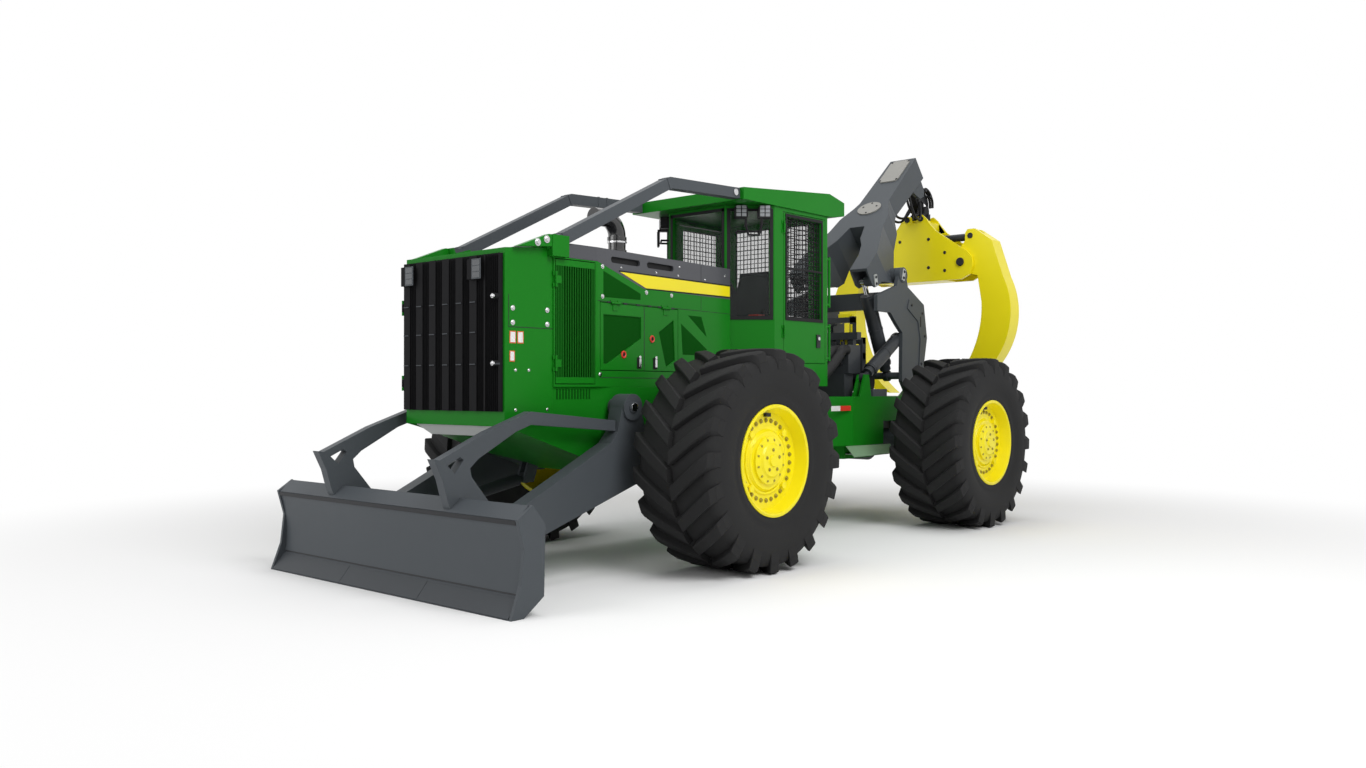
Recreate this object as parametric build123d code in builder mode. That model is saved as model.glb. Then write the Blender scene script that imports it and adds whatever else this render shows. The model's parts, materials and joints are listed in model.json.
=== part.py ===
"""Articulated grapple skidder with a stacking blade, as separate named pieces.

Frame: millimetres, +Z up, the machine faces -Y and +X is its left side.
The origin is on the ground, under the middle of the machine's overall box.
Side profiles are (y, z) points; plan outlines are (x, y) points.
"""
from build123d import *
from math import atan2, copysign, cos, degrees, hypot, pi, radians, sin, sqrt, tan
import os

os.makedirs("parts", exist_ok=True)

# ------------------------------------------------------------------ driving sizes
WHEELBASE = 3812.0
HOOK_REACH = 2560.0          # blade hook tips ahead of the front axle
GRAPPLE_REACH = 1708.0       # grapple's back face behind the rear axle
FRONT_Y = (HOOK_REACH - WHEELBASE - GRAPPLE_REACH) / 2
REAR_Y = FRONT_Y + WHEELBASE
PIVOT_Y = FRONT_Y + WHEELBASE / 2

TYRE_R = 889.0               # out to the lug tips
TYRE_W = 766.0
TRACK_HALF = 1350.0          # middle plane of each tyre
RIM_R = 444.5                # outside of the rim flange, a 32 inch rim
AXLE_Z = TYRE_R

GAP = 0.3                    # seated faces of different pieces
PIN_FIT = 0.05               # radial clearance of a pin in its bore
SWING_GAP = 6.0              # beside a piece that swings


def fy(distance):
    """A station behind the front axle."""
    return FRONT_Y + distance


def ry(distance):
    """A station behind the rear axle."""
    return REAR_Y + distance


# ------------------------------------------------------------------ shared builders
def outline(points, plane):
    """A flat face bounded by straight lines."""
    with BuildSketch(plane) as sketch:
        with BuildLine():
            Polyline(*points, close=True)
        make_face()
    return sketch.sketch


def side_slab(points, x_low, x_high, mode=Mode.ADD):
    """A slab of one (y, z) profile between two x stations."""
    extrude(outline(points, Plane.YZ.offset(x_low)), amount=x_high - x_low, mode=mode)


def plan_slab(points, z_low, z_high, mode=Mode.ADD):
    """A slab of one (x, y) outline between two heights."""
    extrude(outline(points, Plane.XY.offset(z_low)), amount=z_high - z_low, mode=mode)


def front_slab(points, y_low, y_high, mode=Mode.ADD):
    """A slab of one (x, z) outline between two y stations."""
    extrude(outline(points, Plane.XZ.offset(-y_low)), amount=y_low - y_high, mode=mode)


def block(low, high, mode=Mode.ADD):
    """A box between two corners."""
    centre = [(a + b) / 2 for a, b in zip(low, high)]
    with Locations(tuple(centre)):
        Box(*[b - a for a, b in zip(low, high)], mode=mode)


def rod(start, end, radius, mode=Mode.ADD):
    """A round bar between two points."""
    line = Vector(*end) - Vector(*start)
    with BuildSketch(Plane(origin=start, z_dir=line)) as disc:
        Circle(radius)
    extrude(disc.sketch, amount=line.length, mode=mode)


def cross_pin(station, radius, x_low, x_high, mode=Mode.ADD):
    """A round bar along X at a (y, z) station."""
    rod((x_low, *station), (x_high, *station), radius, mode)


def band(points, width):
    """The outline of a bar of one width that follows a bent centre line, with mitred corners."""
    sides = ([], [])
    last = len(points) - 1
    for i, (px, py) in enumerate(points):
        before, here, after = points[max(i - 1, 0)], points[i], points[min(i + 1, last)]
        turn = []
        for start, end in ((before, here), (here, after)):
            length = hypot(end[0] - start[0], end[1] - start[1])
            if length:
                turn.append(((start[1] - end[1]) / length, (end[0] - start[0]) / length))
        nx = sum(n[0] for n in turn) / len(turn)
        ny = sum(n[1] for n in turn) / len(turn)
        scale = width / 2 / (nx * nx + ny * ny)
        sides[0].append((px + nx * scale, py + ny * scale))
        sides[1].append((px - nx * scale, py - ny * scale))
    return sides[0] + sides[1][::-1]


def both_sides(station, names):
    """Export the left piece under the first name and its mirror image under the second."""
    left, right = names
    save(station, left)
    with BuildPart() as other:
        mirror(station.part, about=Plane.YZ)
    save(other, right)


KNUCKLE_R = 10.0
HINGE_ROD_R = 5.0
LEAF_T = 5.0


def knuckle(frame, x_low, x_high, reach, lift):
    """A hinge knuckle along the frame's x, on a leaf that reaches along its y over a face `lift` below."""
    rod(frame.from_local_coords((x_low, 0, 0)), frame.from_local_coords((x_high, 0, 0)), KNUCKLE_R)
    with BuildSketch(frame.offset(-lift - 1)) as leaf:
        with Locations(((x_low + x_high) / 2, reach / 2)):
            Rectangle(x_high - x_low, abs(reach))
    extrude(leaf.sketch, amount=LEAF_T + 1)


def door_hinge(frame, reach, lift):
    """The moving half of a hinge: one bored knuckle."""
    knuckle(frame, -30, 30, reach, lift)
    rod(frame.from_local_coords((-31, 0, 0)), frame.from_local_coords((31, 0, 0)), HINGE_ROD_R + PIN_FIT,
        mode=Mode.SUBTRACT)


def frame_hinge(frame, reach, lift):
    """The fixed half of a hinge: two knuckles and the rod between them."""
    knuckle(frame, -60, -31, reach, lift)
    knuckle(frame, 31, 60, reach, lift)
    rod(frame.from_local_coords((-40, 0, 0)), frame.from_local_coords((40, 0, 0)), HINGE_ROD_R)


def save(piece, name):
    piece.part.label = name
    export_step(piece.part, f"parts/{name}.step")


# ------------------------------------------------------------------ wheels
RIM_HALF = 355.0             # rim flange faces either side of the wheel's middle plane
DISC_OFFSET = 225.0          # wheel disc outboard of the middle plane
HUB_R = 190.0
HUB_BACK = 120.0             # hub's inner face inboard of the middle plane
HUB_NOSE = 325.0             # planetary cover outboard of the middle plane
SPINDLE_R = 95.0
SPINDLE_DEPTH = 150.0        # spindle's length inside the hub
TREAD_R = TYRE_R - 55        # tread between the lugs
TREAD_HALF = 330.0
BULGE_R = 690.0              # where the sidewalls stand out furthest
BEAD_HALF = RIM_HALF - 6
TYRE_FACETS = 20
LUG_PAIRS = 20
LUG_FOOT = TYRE_R - 99       # each lug is rooted here, inside the tread
# one lug on its own tangent plane: (x outboard, distance behind the plane's radius)
LUG_BAR = [(0, -188), (372, 83), (372, 187), (0, -84)]
LUG_REACH = max(abs(behind) for _, behind in LUG_BAR)
LUG_TOP = sqrt(TYRE_R ** 2 - LUG_REACH ** 2)


# one flat-sided slice of the carcass, straight above the axle
with BuildPart() as facet:
    bore = (RIM_R + GAP) / cos(pi / TYRE_FACETS)
    flat = cos(pi / TYRE_FACETS)
    spread = TYRE_R * tan(pi / TYRE_FACETS)
    with BuildSketch(Plane.XZ):
        with BuildLine():
            Polyline((0, bore * flat), (BEAD_HALF, bore * flat), (TYRE_W / 2, BULGE_R * flat),
                     (TREAD_HALF, TREAD_R * flat), (0, TREAD_R * flat), close=True)
        make_face()
        mirror(about=Plane.YZ)
    extrude(amount=TYRE_W / 4, both=True)
    with BuildSketch(Plane.YZ):
        with BuildLine():
            Polyline((0, 0), (spread, TYRE_R), (-spread, TYRE_R), close=True)
        make_face()
    extrude(amount=TYRE_W, both=True, mode=Mode.INTERSECT)


def lug_ring(side, lead):
    """The lugs of one half of the tread, the first one turned forward from the top by `lead` degrees."""
    planes = []
    for i in range(LUG_PAIRS):
        turn = radians(lead + i * 360 / LUG_PAIRS)
        radius = Vector(0, -sin(turn), cos(turn))
        planes.append(Plane(origin=radius * LUG_FOOT, x_dir=(side, 0, 0), z_dir=radius))
    with BuildSketch(*planes) as bars:
        with BuildLine():
            Polyline(*[(x, side * behind) for x, behind in LUG_BAR], close=True)
        make_face()
    extrude(bars.sketch, amount=LUG_TOP - LUG_FOOT)


with BuildPart() as tyre:
    add([facet.part.rotate(Axis.X, 360 * i / TYRE_FACETS) for i in range(TYRE_FACETS)])
    # turned so that one lug's corner is straight below the axle; the other half is staggered by half a pitch
    lead = degrees(atan2(LUG_BAR[0][1], LUG_TOP)) + 180
    lug_ring(1, lead)
    lug_ring(-1, lead + 180 / LUG_PAIRS)

with BuildPart() as rim:
    with BuildSketch(Plane.XZ):
        with BuildLine():
            Polyline((-RIM_HALF, RIM_R), (RIM_HALF, RIM_R), (RIM_HALF, RIM_R - 30), (DISC_OFFSET + 25, RIM_R - 55),
                     (DISC_OFFSET + 25, HUB_R + 60), (DISC_OFFSET + 50, HUB_R + 40), (DISC_OFFSET + 50, HUB_R),
                     (HUB_NOSE - 30, HUB_R), (HUB_NOSE - 15, HUB_R - 50), (HUB_NOSE, HUB_R - 65), (HUB_NOSE, 0),
                     (SPINDLE_DEPTH - HUB_BACK, 0),
                     (SPINDLE_DEPTH - HUB_BACK, SPINDLE_R + PIN_FIT), (-HUB_BACK, SPINDLE_R + PIN_FIT),
                     (-HUB_BACK, HUB_R), (DISC_OFFSET, HUB_R), (DISC_OFFSET, RIM_R - 55),
                     (-RIM_HALF + 25, RIM_R - 40), (-RIM_HALF, RIM_R - 30), close=True)
        make_face()
    revolve(axis=Axis.X)
    # bosses around the hub
    with BuildSketch(Plane.YZ.offset(DISC_OFFSET + 20)):
        with PolarLocations((HUB_R + RIM_R - 40) / 2, 4, 45):
            Circle(28)
    extrude(amount=35)

WHEELS = [  # name, side (+1 left), y of the axle
    ("front_left", 1, FRONT_Y),
    ("front_right", -1, FRONT_Y),
    ("rear_left", 1, REAR_Y),
    ("rear_right", -1, REAR_Y),
]
for wheel_name, side, axle_y in WHEELS:
    for master, piece in ((tyre, "tyre"), (rim, "rim")):
        with BuildPart() as placed:
            add(master.part if side > 0 else master.part.mirror(Plane.YZ))
        placed.part = placed.part.moved(Location((side * TRACK_HALF, axle_y, AXLE_Z)))
        save(placed, f"{piece}_{wheel_name}")

# ------------------------------------------------------------------ axles
AXLE_R = 120.0
DRIVE_R = 245.0              # differential bowl
DRIVE_HALF = 190.0
AXLE_PAD_X = (300.0, 420.0)  # pads under the frame, |x|
FRAME_ARCH_Z = AXLE_Z + 211  # underside of both frames over the axles


def build_axle(y, pad_top):
    hub_face = TRACK_HALF - HUB_BACK - GAP
    cross_pin((y, AXLE_Z), AXLE_R, -hub_face, hub_face)
    cross_pin((y, AXLE_Z), SPINDLE_R, -hub_face - SPINDLE_DEPTH + 10, hub_face + SPINDLE_DEPTH - 10)
    cross_pin((y, AXLE_Z), DRIVE_R, -DRIVE_HALF, DRIVE_HALF)
    for side in (1, -1):
        cross_pin((y, AXLE_Z), 205, side * (hub_face - 150), side * hub_face)
        block_x = sorted(side * x for x in AXLE_PAD_X)
        block((block_x[0], y - 110, AXLE_Z), (block_x[1], y + 110, pad_top))


with BuildPart() as front_axle:
    build_axle(FRONT_Y, FRAME_ARCH_Z - GAP)
save(front_axle, "front_axle")

with BuildPart() as rear_axle:
    build_axle(REAR_Y, FRAME_ARCH_Z)
save(rear_axle, "rear_axle")

# ------------------------------------------------------------------ front frame
RAIL_X = (330.0, 370.0)
FRAME_Z = (800.0, 1400.0)
ENGINE_Z = 1145.0            # top of the cross members that carry the engine
ARM_PIVOT = (fy(-700), 1310.0)
ARM_PIN_R = 45.0
ARM_X = (660.0, 800.0)       # blade push arms, |x|
BODY_HALF = 600.0            # outside of the lower body panels
HINGE_R = 150.0              # rounded ends of the articulation plates
HINGE_PIN_R = 45.0
FRONT_HINGE_Z = [(1260.0, 1300.0), (780.0, 820.0)]
REAR_EAR_Z = [(FRONT_HINGE_Z[0][0] - GAP - 50, FRONT_HINGE_Z[0][0] - GAP),
              (FRONT_HINGE_Z[1][1] + GAP, FRONT_HINGE_Z[1][1] + GAP + 50)]
FRAME_TAIL = PIVOT_Y - 206
STEER_BASE = (450.0, PIVOT_Y - 1006)
STEER_TIP = (400.0, PIVOT_Y + 300)
STEER_SLOT = (180.0, 85.0)   # the barrels' way through the frame's tail: inner |x|, half height
STEER_Z = 1000.0
BLADE_CYL_X = 425.0
BLADE_CYL_BASE = (fy(-760), 690.0)
BLADE_CYL_TIP = (fy(-2120), 440.0)
EYE_HALF = 28.0              # half width of every cylinder eye
EAR_T = 22.0                 # thickness of every cylinder bracket ear

with BuildPart() as front_frame:
    rail = [(fy(-1650), 1180 - GAP), (fy(-1650), 1142), (fy(-1010), 922), (fy(-600), FRAME_Z[0]),
            (fy(-330), FRAME_Z[0]), (fy(-270), FRAME_ARCH_Z), (fy(270), FRAME_ARCH_Z),
            (fy(330), FRAME_Z[0]), (FRAME_TAIL, FRAME_Z[0]), (FRAME_TAIL, FRAME_Z[1]),
            (fy(-1355), FRAME_Z[1]), (fy(-1355), 1180 - GAP)]
    for side in (1, -1):
        side_slab(rail, side * RAIL_X[0], side * RAIL_X[1])
    # cross members between the rails: front, under the engine, behind the axle, tail
    block((-RAIL_X[0], fy(-1640), 1142), (RAIL_X[0], fy(-1500), 1180 - GAP))
    block((-RAIL_X[0], fy(-520), ENGINE_Z - 60), (RAIL_X[0], fy(-420), ENGINE_Z))
    block((-RAIL_X[0], fy(320), ENGINE_Z - 60), (RAIL_X[0], fy(400), ENGINE_Z))
    block((-RAIL_X[1], FRAME_TAIL - 100, FRAME_Z[0]), (RAIL_X[1], FRAME_TAIL, FRAME_Z[1]))
    for side in (1, -1):
        xs = sorted((side * STEER_SLOT[0], side * (RAIL_X[1] + 1)))
        block((xs[0], STEER_BASE[1] + 140, STEER_Z - STEER_SLOT[1]), (xs[1], FRAME_TAIL + 1, STEER_Z + STEER_SLOT[1]),
              mode=Mode.SUBTRACT)
    # blade arm cross tube with a pin at each end
    cross_pin(ARM_PIVOT, 70, -ARM_X[0] + SWING_GAP, ARM_X[0] - SWING_GAP)
    cross_pin(ARM_PIVOT, ARM_PIN_R, -ARM_X[1] - 30, ARM_X[1] + 30)
    # articulation plates and their pins
    for (low, high), (ear_low, ear_high) in zip(FRONT_HINGE_Z, REAR_EAR_Z):
        plan_slab([(-HINGE_R, FRAME_TAIL), (HINGE_R, FRAME_TAIL), (HINGE_R, PIVOT_Y), (-HINGE_R, PIVOT_Y)],
                  low, high)
        rod((0, PIVOT_Y, low), (0, PIVOT_Y, high), HINGE_R)
        rod((0, PIVOT_Y, min(low, ear_low)), (0, PIVOT_Y, max(high, ear_high)), HINGE_PIN_R)
    # steering cylinder brackets behind the rails
    for side in (1, -1):
        for low in (STEER_Z - EYE_HALF - GAP - EAR_T, STEER_Z + EYE_HALF + GAP):
            xs = sorted((side * RAIL_X[1], side * (STEER_BASE[0] + 45)))
            block((xs[0], STEER_BASE[1] - 50, low), (xs[1], STEER_BASE[1] + 45, low + EAR_T))
        rod((side * STEER_BASE[0], STEER_BASE[1], STEER_Z - EYE_HALF - 20),
            (side * STEER_BASE[0], STEER_BASE[1], STEER_Z + EYE_HALF + 20), 25)
save(front_frame, "front_frame")

# ------------------------------------------------------------------ lower body panels and belly pan
NOSE_Y = fy(-1830)
BOX_BACK = fy(-1364)
BOX_BASE = 1180.0
SKIRT_Z = 1470.0             # seam between the lower panels and the engine doors
CAB_FRONT = fy(1030)
BELLY_LINE = [(fy(-1720), 1150), (fy(-1010), 906), (fy(-600), 765), (fy(-340), 765)]
PANEL_T = 15.0

with BuildPart() as lower_panels:
    arch_top = FRAME_ARCH_Z + 60
    skirt = [(NOSE_Y, BOX_BASE - GAP), *BELLY_LINE, (fy(-280), arch_top), (fy(280), arch_top), (fy(340), 765),
             (fy(1500), 765), (fy(1500), SKIRT_Z), (BOX_BACK + GAP, SKIRT_Z), (BOX_BACK + GAP, BOX_BASE - GAP)]
    side_slab(skirt, BODY_HALF - PANEL_T, BODY_HALF)
    cross_pin(ARM_PIVOT, 70 + GAP, BODY_HALF - 2 * PANEL_T, BODY_HALF + PANEL_T, mode=Mode.SUBTRACT)
    mirror(about=Plane.YZ)
save(lower_panels, "lower_panels")

with BuildPart() as belly_pan:
    inner = BODY_HALF - PANEL_T - GAP
    front_pan = [(y, z) for y, z in BELLY_LINE]
    side_slab(front_pan + [(y, z + PANEL_T) for y, z in reversed(front_pan)], -inner, inner)
    block((-inner, fy(340), 765), (inner, fy(1500), 765 + PANEL_T))
    # ears for the blade cylinders' upper ends
    for side in (1, -1):
        for x in (BLADE_CYL_X - EYE_HALF - GAP - EAR_T, BLADE_CYL_X + EYE_HALF + GAP):
            xs = sorted((side * x, side * (x + EAR_T)))
            side_slab([(BLADE_CYL_BASE[0] - 60, BLADE_CYL_BASE[1] - 40), (BLADE_CYL_BASE[0] + 60, BLADE_CYL_BASE[1] - 40),
                       (BLADE_CYL_BASE[0] + 110, 790), (BLADE_CYL_BASE[0], 825)], xs[0], xs[1])
        cross_pin(BLADE_CYL_BASE, 25, side * (BLADE_CYL_X - EYE_HALF - 10), side * (BLADE_CYL_X + EYE_HALF + 10))
save(belly_pan, "belly_pan")

# ------------------------------------------------------------------ engine, a plain block in its real place
with BuildPart() as engine_block:
    engine_half = RAIL_X[0] - 20
    block((-engine_half, fy(-580), ENGINE_Z + GAP), (engine_half, fy(370), 2020))
    block((-engine_half, fy(-1000), 1400), (engine_half, fy(-580), 2020))
save(engine_block, "engine_block")

# ------------------------------------------------------------------ cooling box
BOX_HALF = 610.0
BOX_TOP = (2487.0, 2530.0)   # front and back edges of its sloping top
BOX_RECESS = 60.0
GRILLE_HINGE = (-BOX_HALF - 18, NOSE_Y - 22)
GRILLE_HINGE_Z = (1500.0, 2100.0)

with BuildPart() as cooling_box:
    side_slab([(NOSE_Y, BOX_BASE), (NOSE_Y, BOX_TOP[0]), (BOX_BACK, BOX_TOP[1]), (BOX_BACK, BOX_BASE)],
              -BOX_HALF, BOX_HALF)
    # shallow recess in front of the core
    block((-560, NOSE_Y - 50, 1310), (560, NOSE_Y + BOX_RECESS, 2426), mode=Mode.SUBTRACT)
    for z in GRILLE_HINGE_Z:
        frame_hinge(Plane(origin=(*GRILLE_HINGE, z), x_dir=(0, 0, 1), z_dir=(-1, 0, 0)), 60, 18)
save(cooling_box, "cooling_box")

# ------------------------------------------------------------------ grille door
GRILLE_HALF = 590.0
GRILLE_Z = (1290.0, 2446.0)
GRILLE_DEEP = 40.0
GRILLE_PANELS = 7
RIB_PITCH = 22.0
DASH_Z = (1634.0, 1871.0, 2096.0)
GRILLE_LATCH_Z = (1641.0, 2130.0)
LAMP_BOX = (110.0, 150.0)

with BuildPart() as grille_door:
    back = NOSE_Y - GAP
    front = back - GRILLE_DEEP
    pitch = 2 * GRILLE_HALF / GRILLE_PANELS
    profile = [(-GRILLE_HALF, back)]
    for i in range(GRILLE_PANELS):
        # a flat part, then two ribs; the last panel is ribs alone
        flat_end = (-GRILLE_HALF + (i + 1) * pitch) - (4 if i < GRILLE_PANELS - 1 else 7) * RIB_PITCH
        profile += [(-GRILLE_HALF + i * pitch, front), (flat_end, front)]
        for x in range(round(((i + 1) * pitch - GRILLE_HALF - flat_end) / RIB_PITCH)):
            rib = flat_end + x * RIB_PITCH
            profile += [(rib + 2, front + 24), (rib + RIB_PITCH - 6, front + 24), (rib + RIB_PITCH - 4, front)]
    profile += [(GRILLE_HALF, front), (GRILLE_HALF, back)]
    plan_slab(profile, *GRILLE_Z)
    for z in GRILLE_HINGE_Z:
        door_hinge(Plane(origin=(*GRILLE_HINGE, z), x_dir=(0, 0, -1), z_dir=(0, -1, 0)), 45, 4)
    # short bars across the flat parts, the two lamps, and the latches
    for i in range(GRILLE_PANELS - 1):
        x = -GRILLE_HALF + i * pitch
        for z in DASH_Z:
            block((x + 8, front - 8, z), (x + pitch - 4 * RIB_PITCH - 8, front + 1, z + 8))
    for panel in (0, GRILLE_PANELS - 2):
        x = -GRILLE_HALF + panel * pitch + 12
        block((x, front - 35, GRILLE_Z[1] - 30 - LAMP_BOX[1]), (x + LAMP_BOX[0], front + 1, GRILLE_Z[1] - 30))
    for z in GRILLE_LATCH_Z:
        rod((GRILLE_HALF - 18, front - 30, z), (GRILLE_HALF - 18, front + 10, z), 22)
save(grille_door, "grille_door")

# ------------------------------------------------------------------ hood
HOOD_HALF = 620.0
HOOD_START = fy(-900)        # where the hood begins to narrow
HOOD_TAPER = 0.109           # narrowing per unit length, each side
HOOD_TOP = 2575.0
HOOD_T = 22.0
HOOD_VENTS = [(168, 551), (648, 1030)]     # air slots, from and to along each side
HOOD_VENT_Z = 2495.0
VENT_HEIGHT = 50.0
SEAM_Z = 2148.0              # hinge line of the engine doors
TAPER_N = sqrt(1 + HOOD_TAPER ** 2)
HOOD_SIDE = Plane(origin=(HOOD_HALF, HOOD_START, 0), x_dir=(-HOOD_TAPER, 1, 0), z_dir=(1, HOOD_TAPER, 0))
HOOD_RUN = (CAB_FRONT - GAP - HOOD_START) * TAPER_N
HOOD_END_HALF = HOOD_HALF - HOOD_TAPER * (CAB_FRONT - GAP - HOOD_START)
SKIRT_LINE = [(0, 2464), (604, 2290), (HOOD_RUN, 2290)]    # lower edge of the hood along its side

with BuildPart() as hood:
    plan_slab([(-HOOD_HALF, BOX_BACK + GAP), (HOOD_HALF, BOX_BACK + GAP), (HOOD_HALF, HOOD_START),
               (HOOD_END_HALF, CAB_FRONT - GAP), (-HOOD_END_HALF, CAB_FRONT - GAP), (-HOOD_HALF, HOOD_START)],
              HOOD_TOP - HOOD_T, HOOD_TOP)
    for side in (1, -1):
        xs = sorted((side * HOOD_HALF, side * (HOOD_HALF - HOOD_T)))
        block((xs[0], BOX_BACK + GAP, SKIRT_LINE[0][1]), (xs[1], HOOD_START, HOOD_TOP))
    with BuildPart(mode=Mode.PRIVATE) as skirt_side:
        extrude(outline([*SKIRT_LINE, (HOOD_RUN, HOOD_TOP), (0, HOOD_TOP)], HOOD_SIDE), amount=-HOOD_T)
        with BuildSketch(HOOD_SIDE.offset(HOOD_T)) as vents:
            for s_from, s_to in HOOD_VENTS:
                with Locations(((s_from + s_to) / 2, HOOD_VENT_Z)):
                    SlotOverall(s_to - s_from, VENT_HEIGHT)
        extrude(vents.sketch, amount=-3 * HOOD_T, mode=Mode.SUBTRACT)
        mirror(about=Plane.YZ)
    add(skirt_side.part)
save(hood, "hood")

# ------------------------------------------------------------------ engine side panels and doors
LOUVRE_Y = (fy(-1350), fy(-925))
LOUVRE_Z = (1490.0, 2452.0)
ENGINE_DOOR_S = (30.0, 1100.0)      # along the tapering side
ENGINE_DOOR_Z = (1600.0, SEAM_Z - SWING_GAP)
SIDE_T = 20.0
HINGE_LIFT = KNUCKLE_R + 1   # hinge lines stand this far off the faces they cross
ENGINE_HINGE_S = (220.0, 910.0)
LOUVRE_HINGE_Z = (1650.0, 2290.0)
INSET_DEEP = 10.0
ENGINE_INSETS = [  # (s, z) outlines of the hollows pressed into each engine door
    [(73, 2050), (567, 2050), (567, 1875), (400, 1790), (120, 1655), (73, 1655)],
    [(816, 1936), (1030, 2050), (1050, 1700), (920, 1640)],
]
LOUVRE_SLOTS = 12


def engine_hinge(s):
    """Frame on an engine door's hinge line, its y up the panel."""
    origin = HOOD_SIDE.from_local_coords((s, SEAM_Z - SWING_GAP / 2, HINGE_LIFT))
    return Plane(origin=origin, x_dir=HOOD_SIDE.x_dir, z_dir=HOOD_SIDE.z_dir)


def louvre_hinge(z):
    """Frame on a louvre door's hinge line, its y rearward."""
    return Plane(origin=(HOOD_HALF + HINGE_LIFT, LOUVRE_Y[0] + SWING_GAP / 2, z), x_dir=(0, 0, -1), z_dir=(1, 0, 0))


with BuildPart() as side_panels:
    block((HOOD_HALF - SIDE_T, BOX_BACK + GAP, SKIRT_Z + GAP), (HOOD_HALF, HOOD_START, SKIRT_LINE[0][1] - GAP - 1))
    block((HOOD_HALF - 2 * SIDE_T, LOUVRE_Y[0], LOUVRE_Z[0]), (HOOD_HALF + SIDE_T, LOUVRE_Y[1], LOUVRE_Z[1]),
          mode=Mode.SUBTRACT)
    extrude(outline([(0, SKIRT_Z + GAP), (HOOD_RUN, SKIRT_Z + GAP), (HOOD_RUN, 2290 - GAP), (604, 2290 - GAP),
                     (0, 2464 - GAP)], HOOD_SIDE), amount=-SIDE_T)
    extrude(outline([(ENGINE_DOOR_S[0], ENGINE_DOOR_Z[0]), (ENGINE_DOOR_S[1], ENGINE_DOOR_Z[0]),
                     (ENGINE_DOOR_S[1], SEAM_Z), (ENGINE_DOOR_S[0], SEAM_Z)], HOOD_SIDE.offset(SIDE_T)),
            amount=-3 * SIDE_T, mode=Mode.SUBTRACT)
    for s in ENGINE_HINGE_S:
        frame_hinge(engine_hinge(s), 25, HINGE_LIFT)
    for z in LOUVRE_HINGE_Z:
        frame_hinge(louvre_hinge(z), -25, HINGE_LIFT)
    mirror(about=Plane.YZ)
save(side_panels, "side_panels")

with BuildPart() as engine_door_left:
    extrude(outline([(ENGINE_DOOR_S[0] + SWING_GAP, ENGINE_DOOR_Z[0] + SWING_GAP),
                     (ENGINE_DOOR_S[1] - SWING_GAP, ENGINE_DOOR_Z[0] + SWING_GAP),
                     (ENGINE_DOOR_S[1] - SWING_GAP, ENGINE_DOOR_Z[1]), (ENGINE_DOOR_S[0] + SWING_GAP, ENGINE_DOOR_Z[1])],
                    HOOD_SIDE), amount=-SIDE_T)
    # pressed insets
    for inset in ENGINE_INSETS:
        extrude(outline(inset, HOOD_SIDE.offset(5)), amount=-5 - INSET_DEEP, mode=Mode.SUBTRACT)
    for s in ENGINE_HINGE_S:
        door_hinge(engine_hinge(s), -60, HINGE_LIFT)
both_sides(engine_door_left, ("engine_door_left", "engine_door_right"))

with BuildPart() as louvre_door_left:
    block((HOOD_HALF - SIDE_T, LOUVRE_Y[0] + SWING_GAP, LOUVRE_Z[0] + SWING_GAP),
          (HOOD_HALF, LOUVRE_Y[1] - SWING_GAP, LOUVRE_Z[1] - SWING_GAP))
    with BuildSketch(Plane.YZ.offset(HOOD_HALF + 1)):
        with Locations(((LOUVRE_Y[0] + LOUVRE_Y[1]) / 2 + 25, (LOUVRE_Z[0] + LOUVRE_Z[1]) / 2)):
            with GridLocations(25, 0, LOUVRE_SLOTS, 1):
                Rectangle(13, LOUVRE_Z[1] - LOUVRE_Z[0] - 110)
    extrude(amount=-13, mode=Mode.SUBTRACT)
    for z in LOUVRE_HINGE_Z:
        door_hinge(louvre_hinge(z), 60, HINGE_LIFT)
both_sides(louvre_door_left, ("louvre_door_left", "louvre_door_right"))

# ------------------------------------------------------------------ cab
CAB_HALF = 680.0
CAB_FACE_HALF = 355.0
CAB_CORNER_Y = fy(1360)
CAB_BACK = fy(2250)
CAB_Z = (SKIRT_Z + 10, 3180.0)
CAB_WALL = 50.0
SILL_Z = 1700.0
DOOR_Y = (fy(1500), fy(2210))
DOOR_TOP = 3145.0
GLASS_T = 8.0
CORNER_DIR = Vector(CAB_HALF - CAB_FACE_HALF, CAB_CORNER_Y - CAB_FRONT, 0)
CORNER_FACE = Plane(origin=(CAB_FACE_HALF, CAB_FRONT, 0), x_dir=CORNER_DIR, z_dir=CORNER_DIR.rotate(Axis.Z, -90))
WINDOW_Z = (2140.0, 3125.0)

CAB_HINGE_Z = (2000.0, 3000.0)


def cab_hinge(z):
    """Frame on a cab door's hinge line, its y rearward."""
    return Plane(origin=(CAB_HALF + HINGE_LIFT, DOOR_Y[0] + SWING_GAP / 2, z), x_dir=(0, 0, -1), z_dir=(1, 0, 0))


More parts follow.
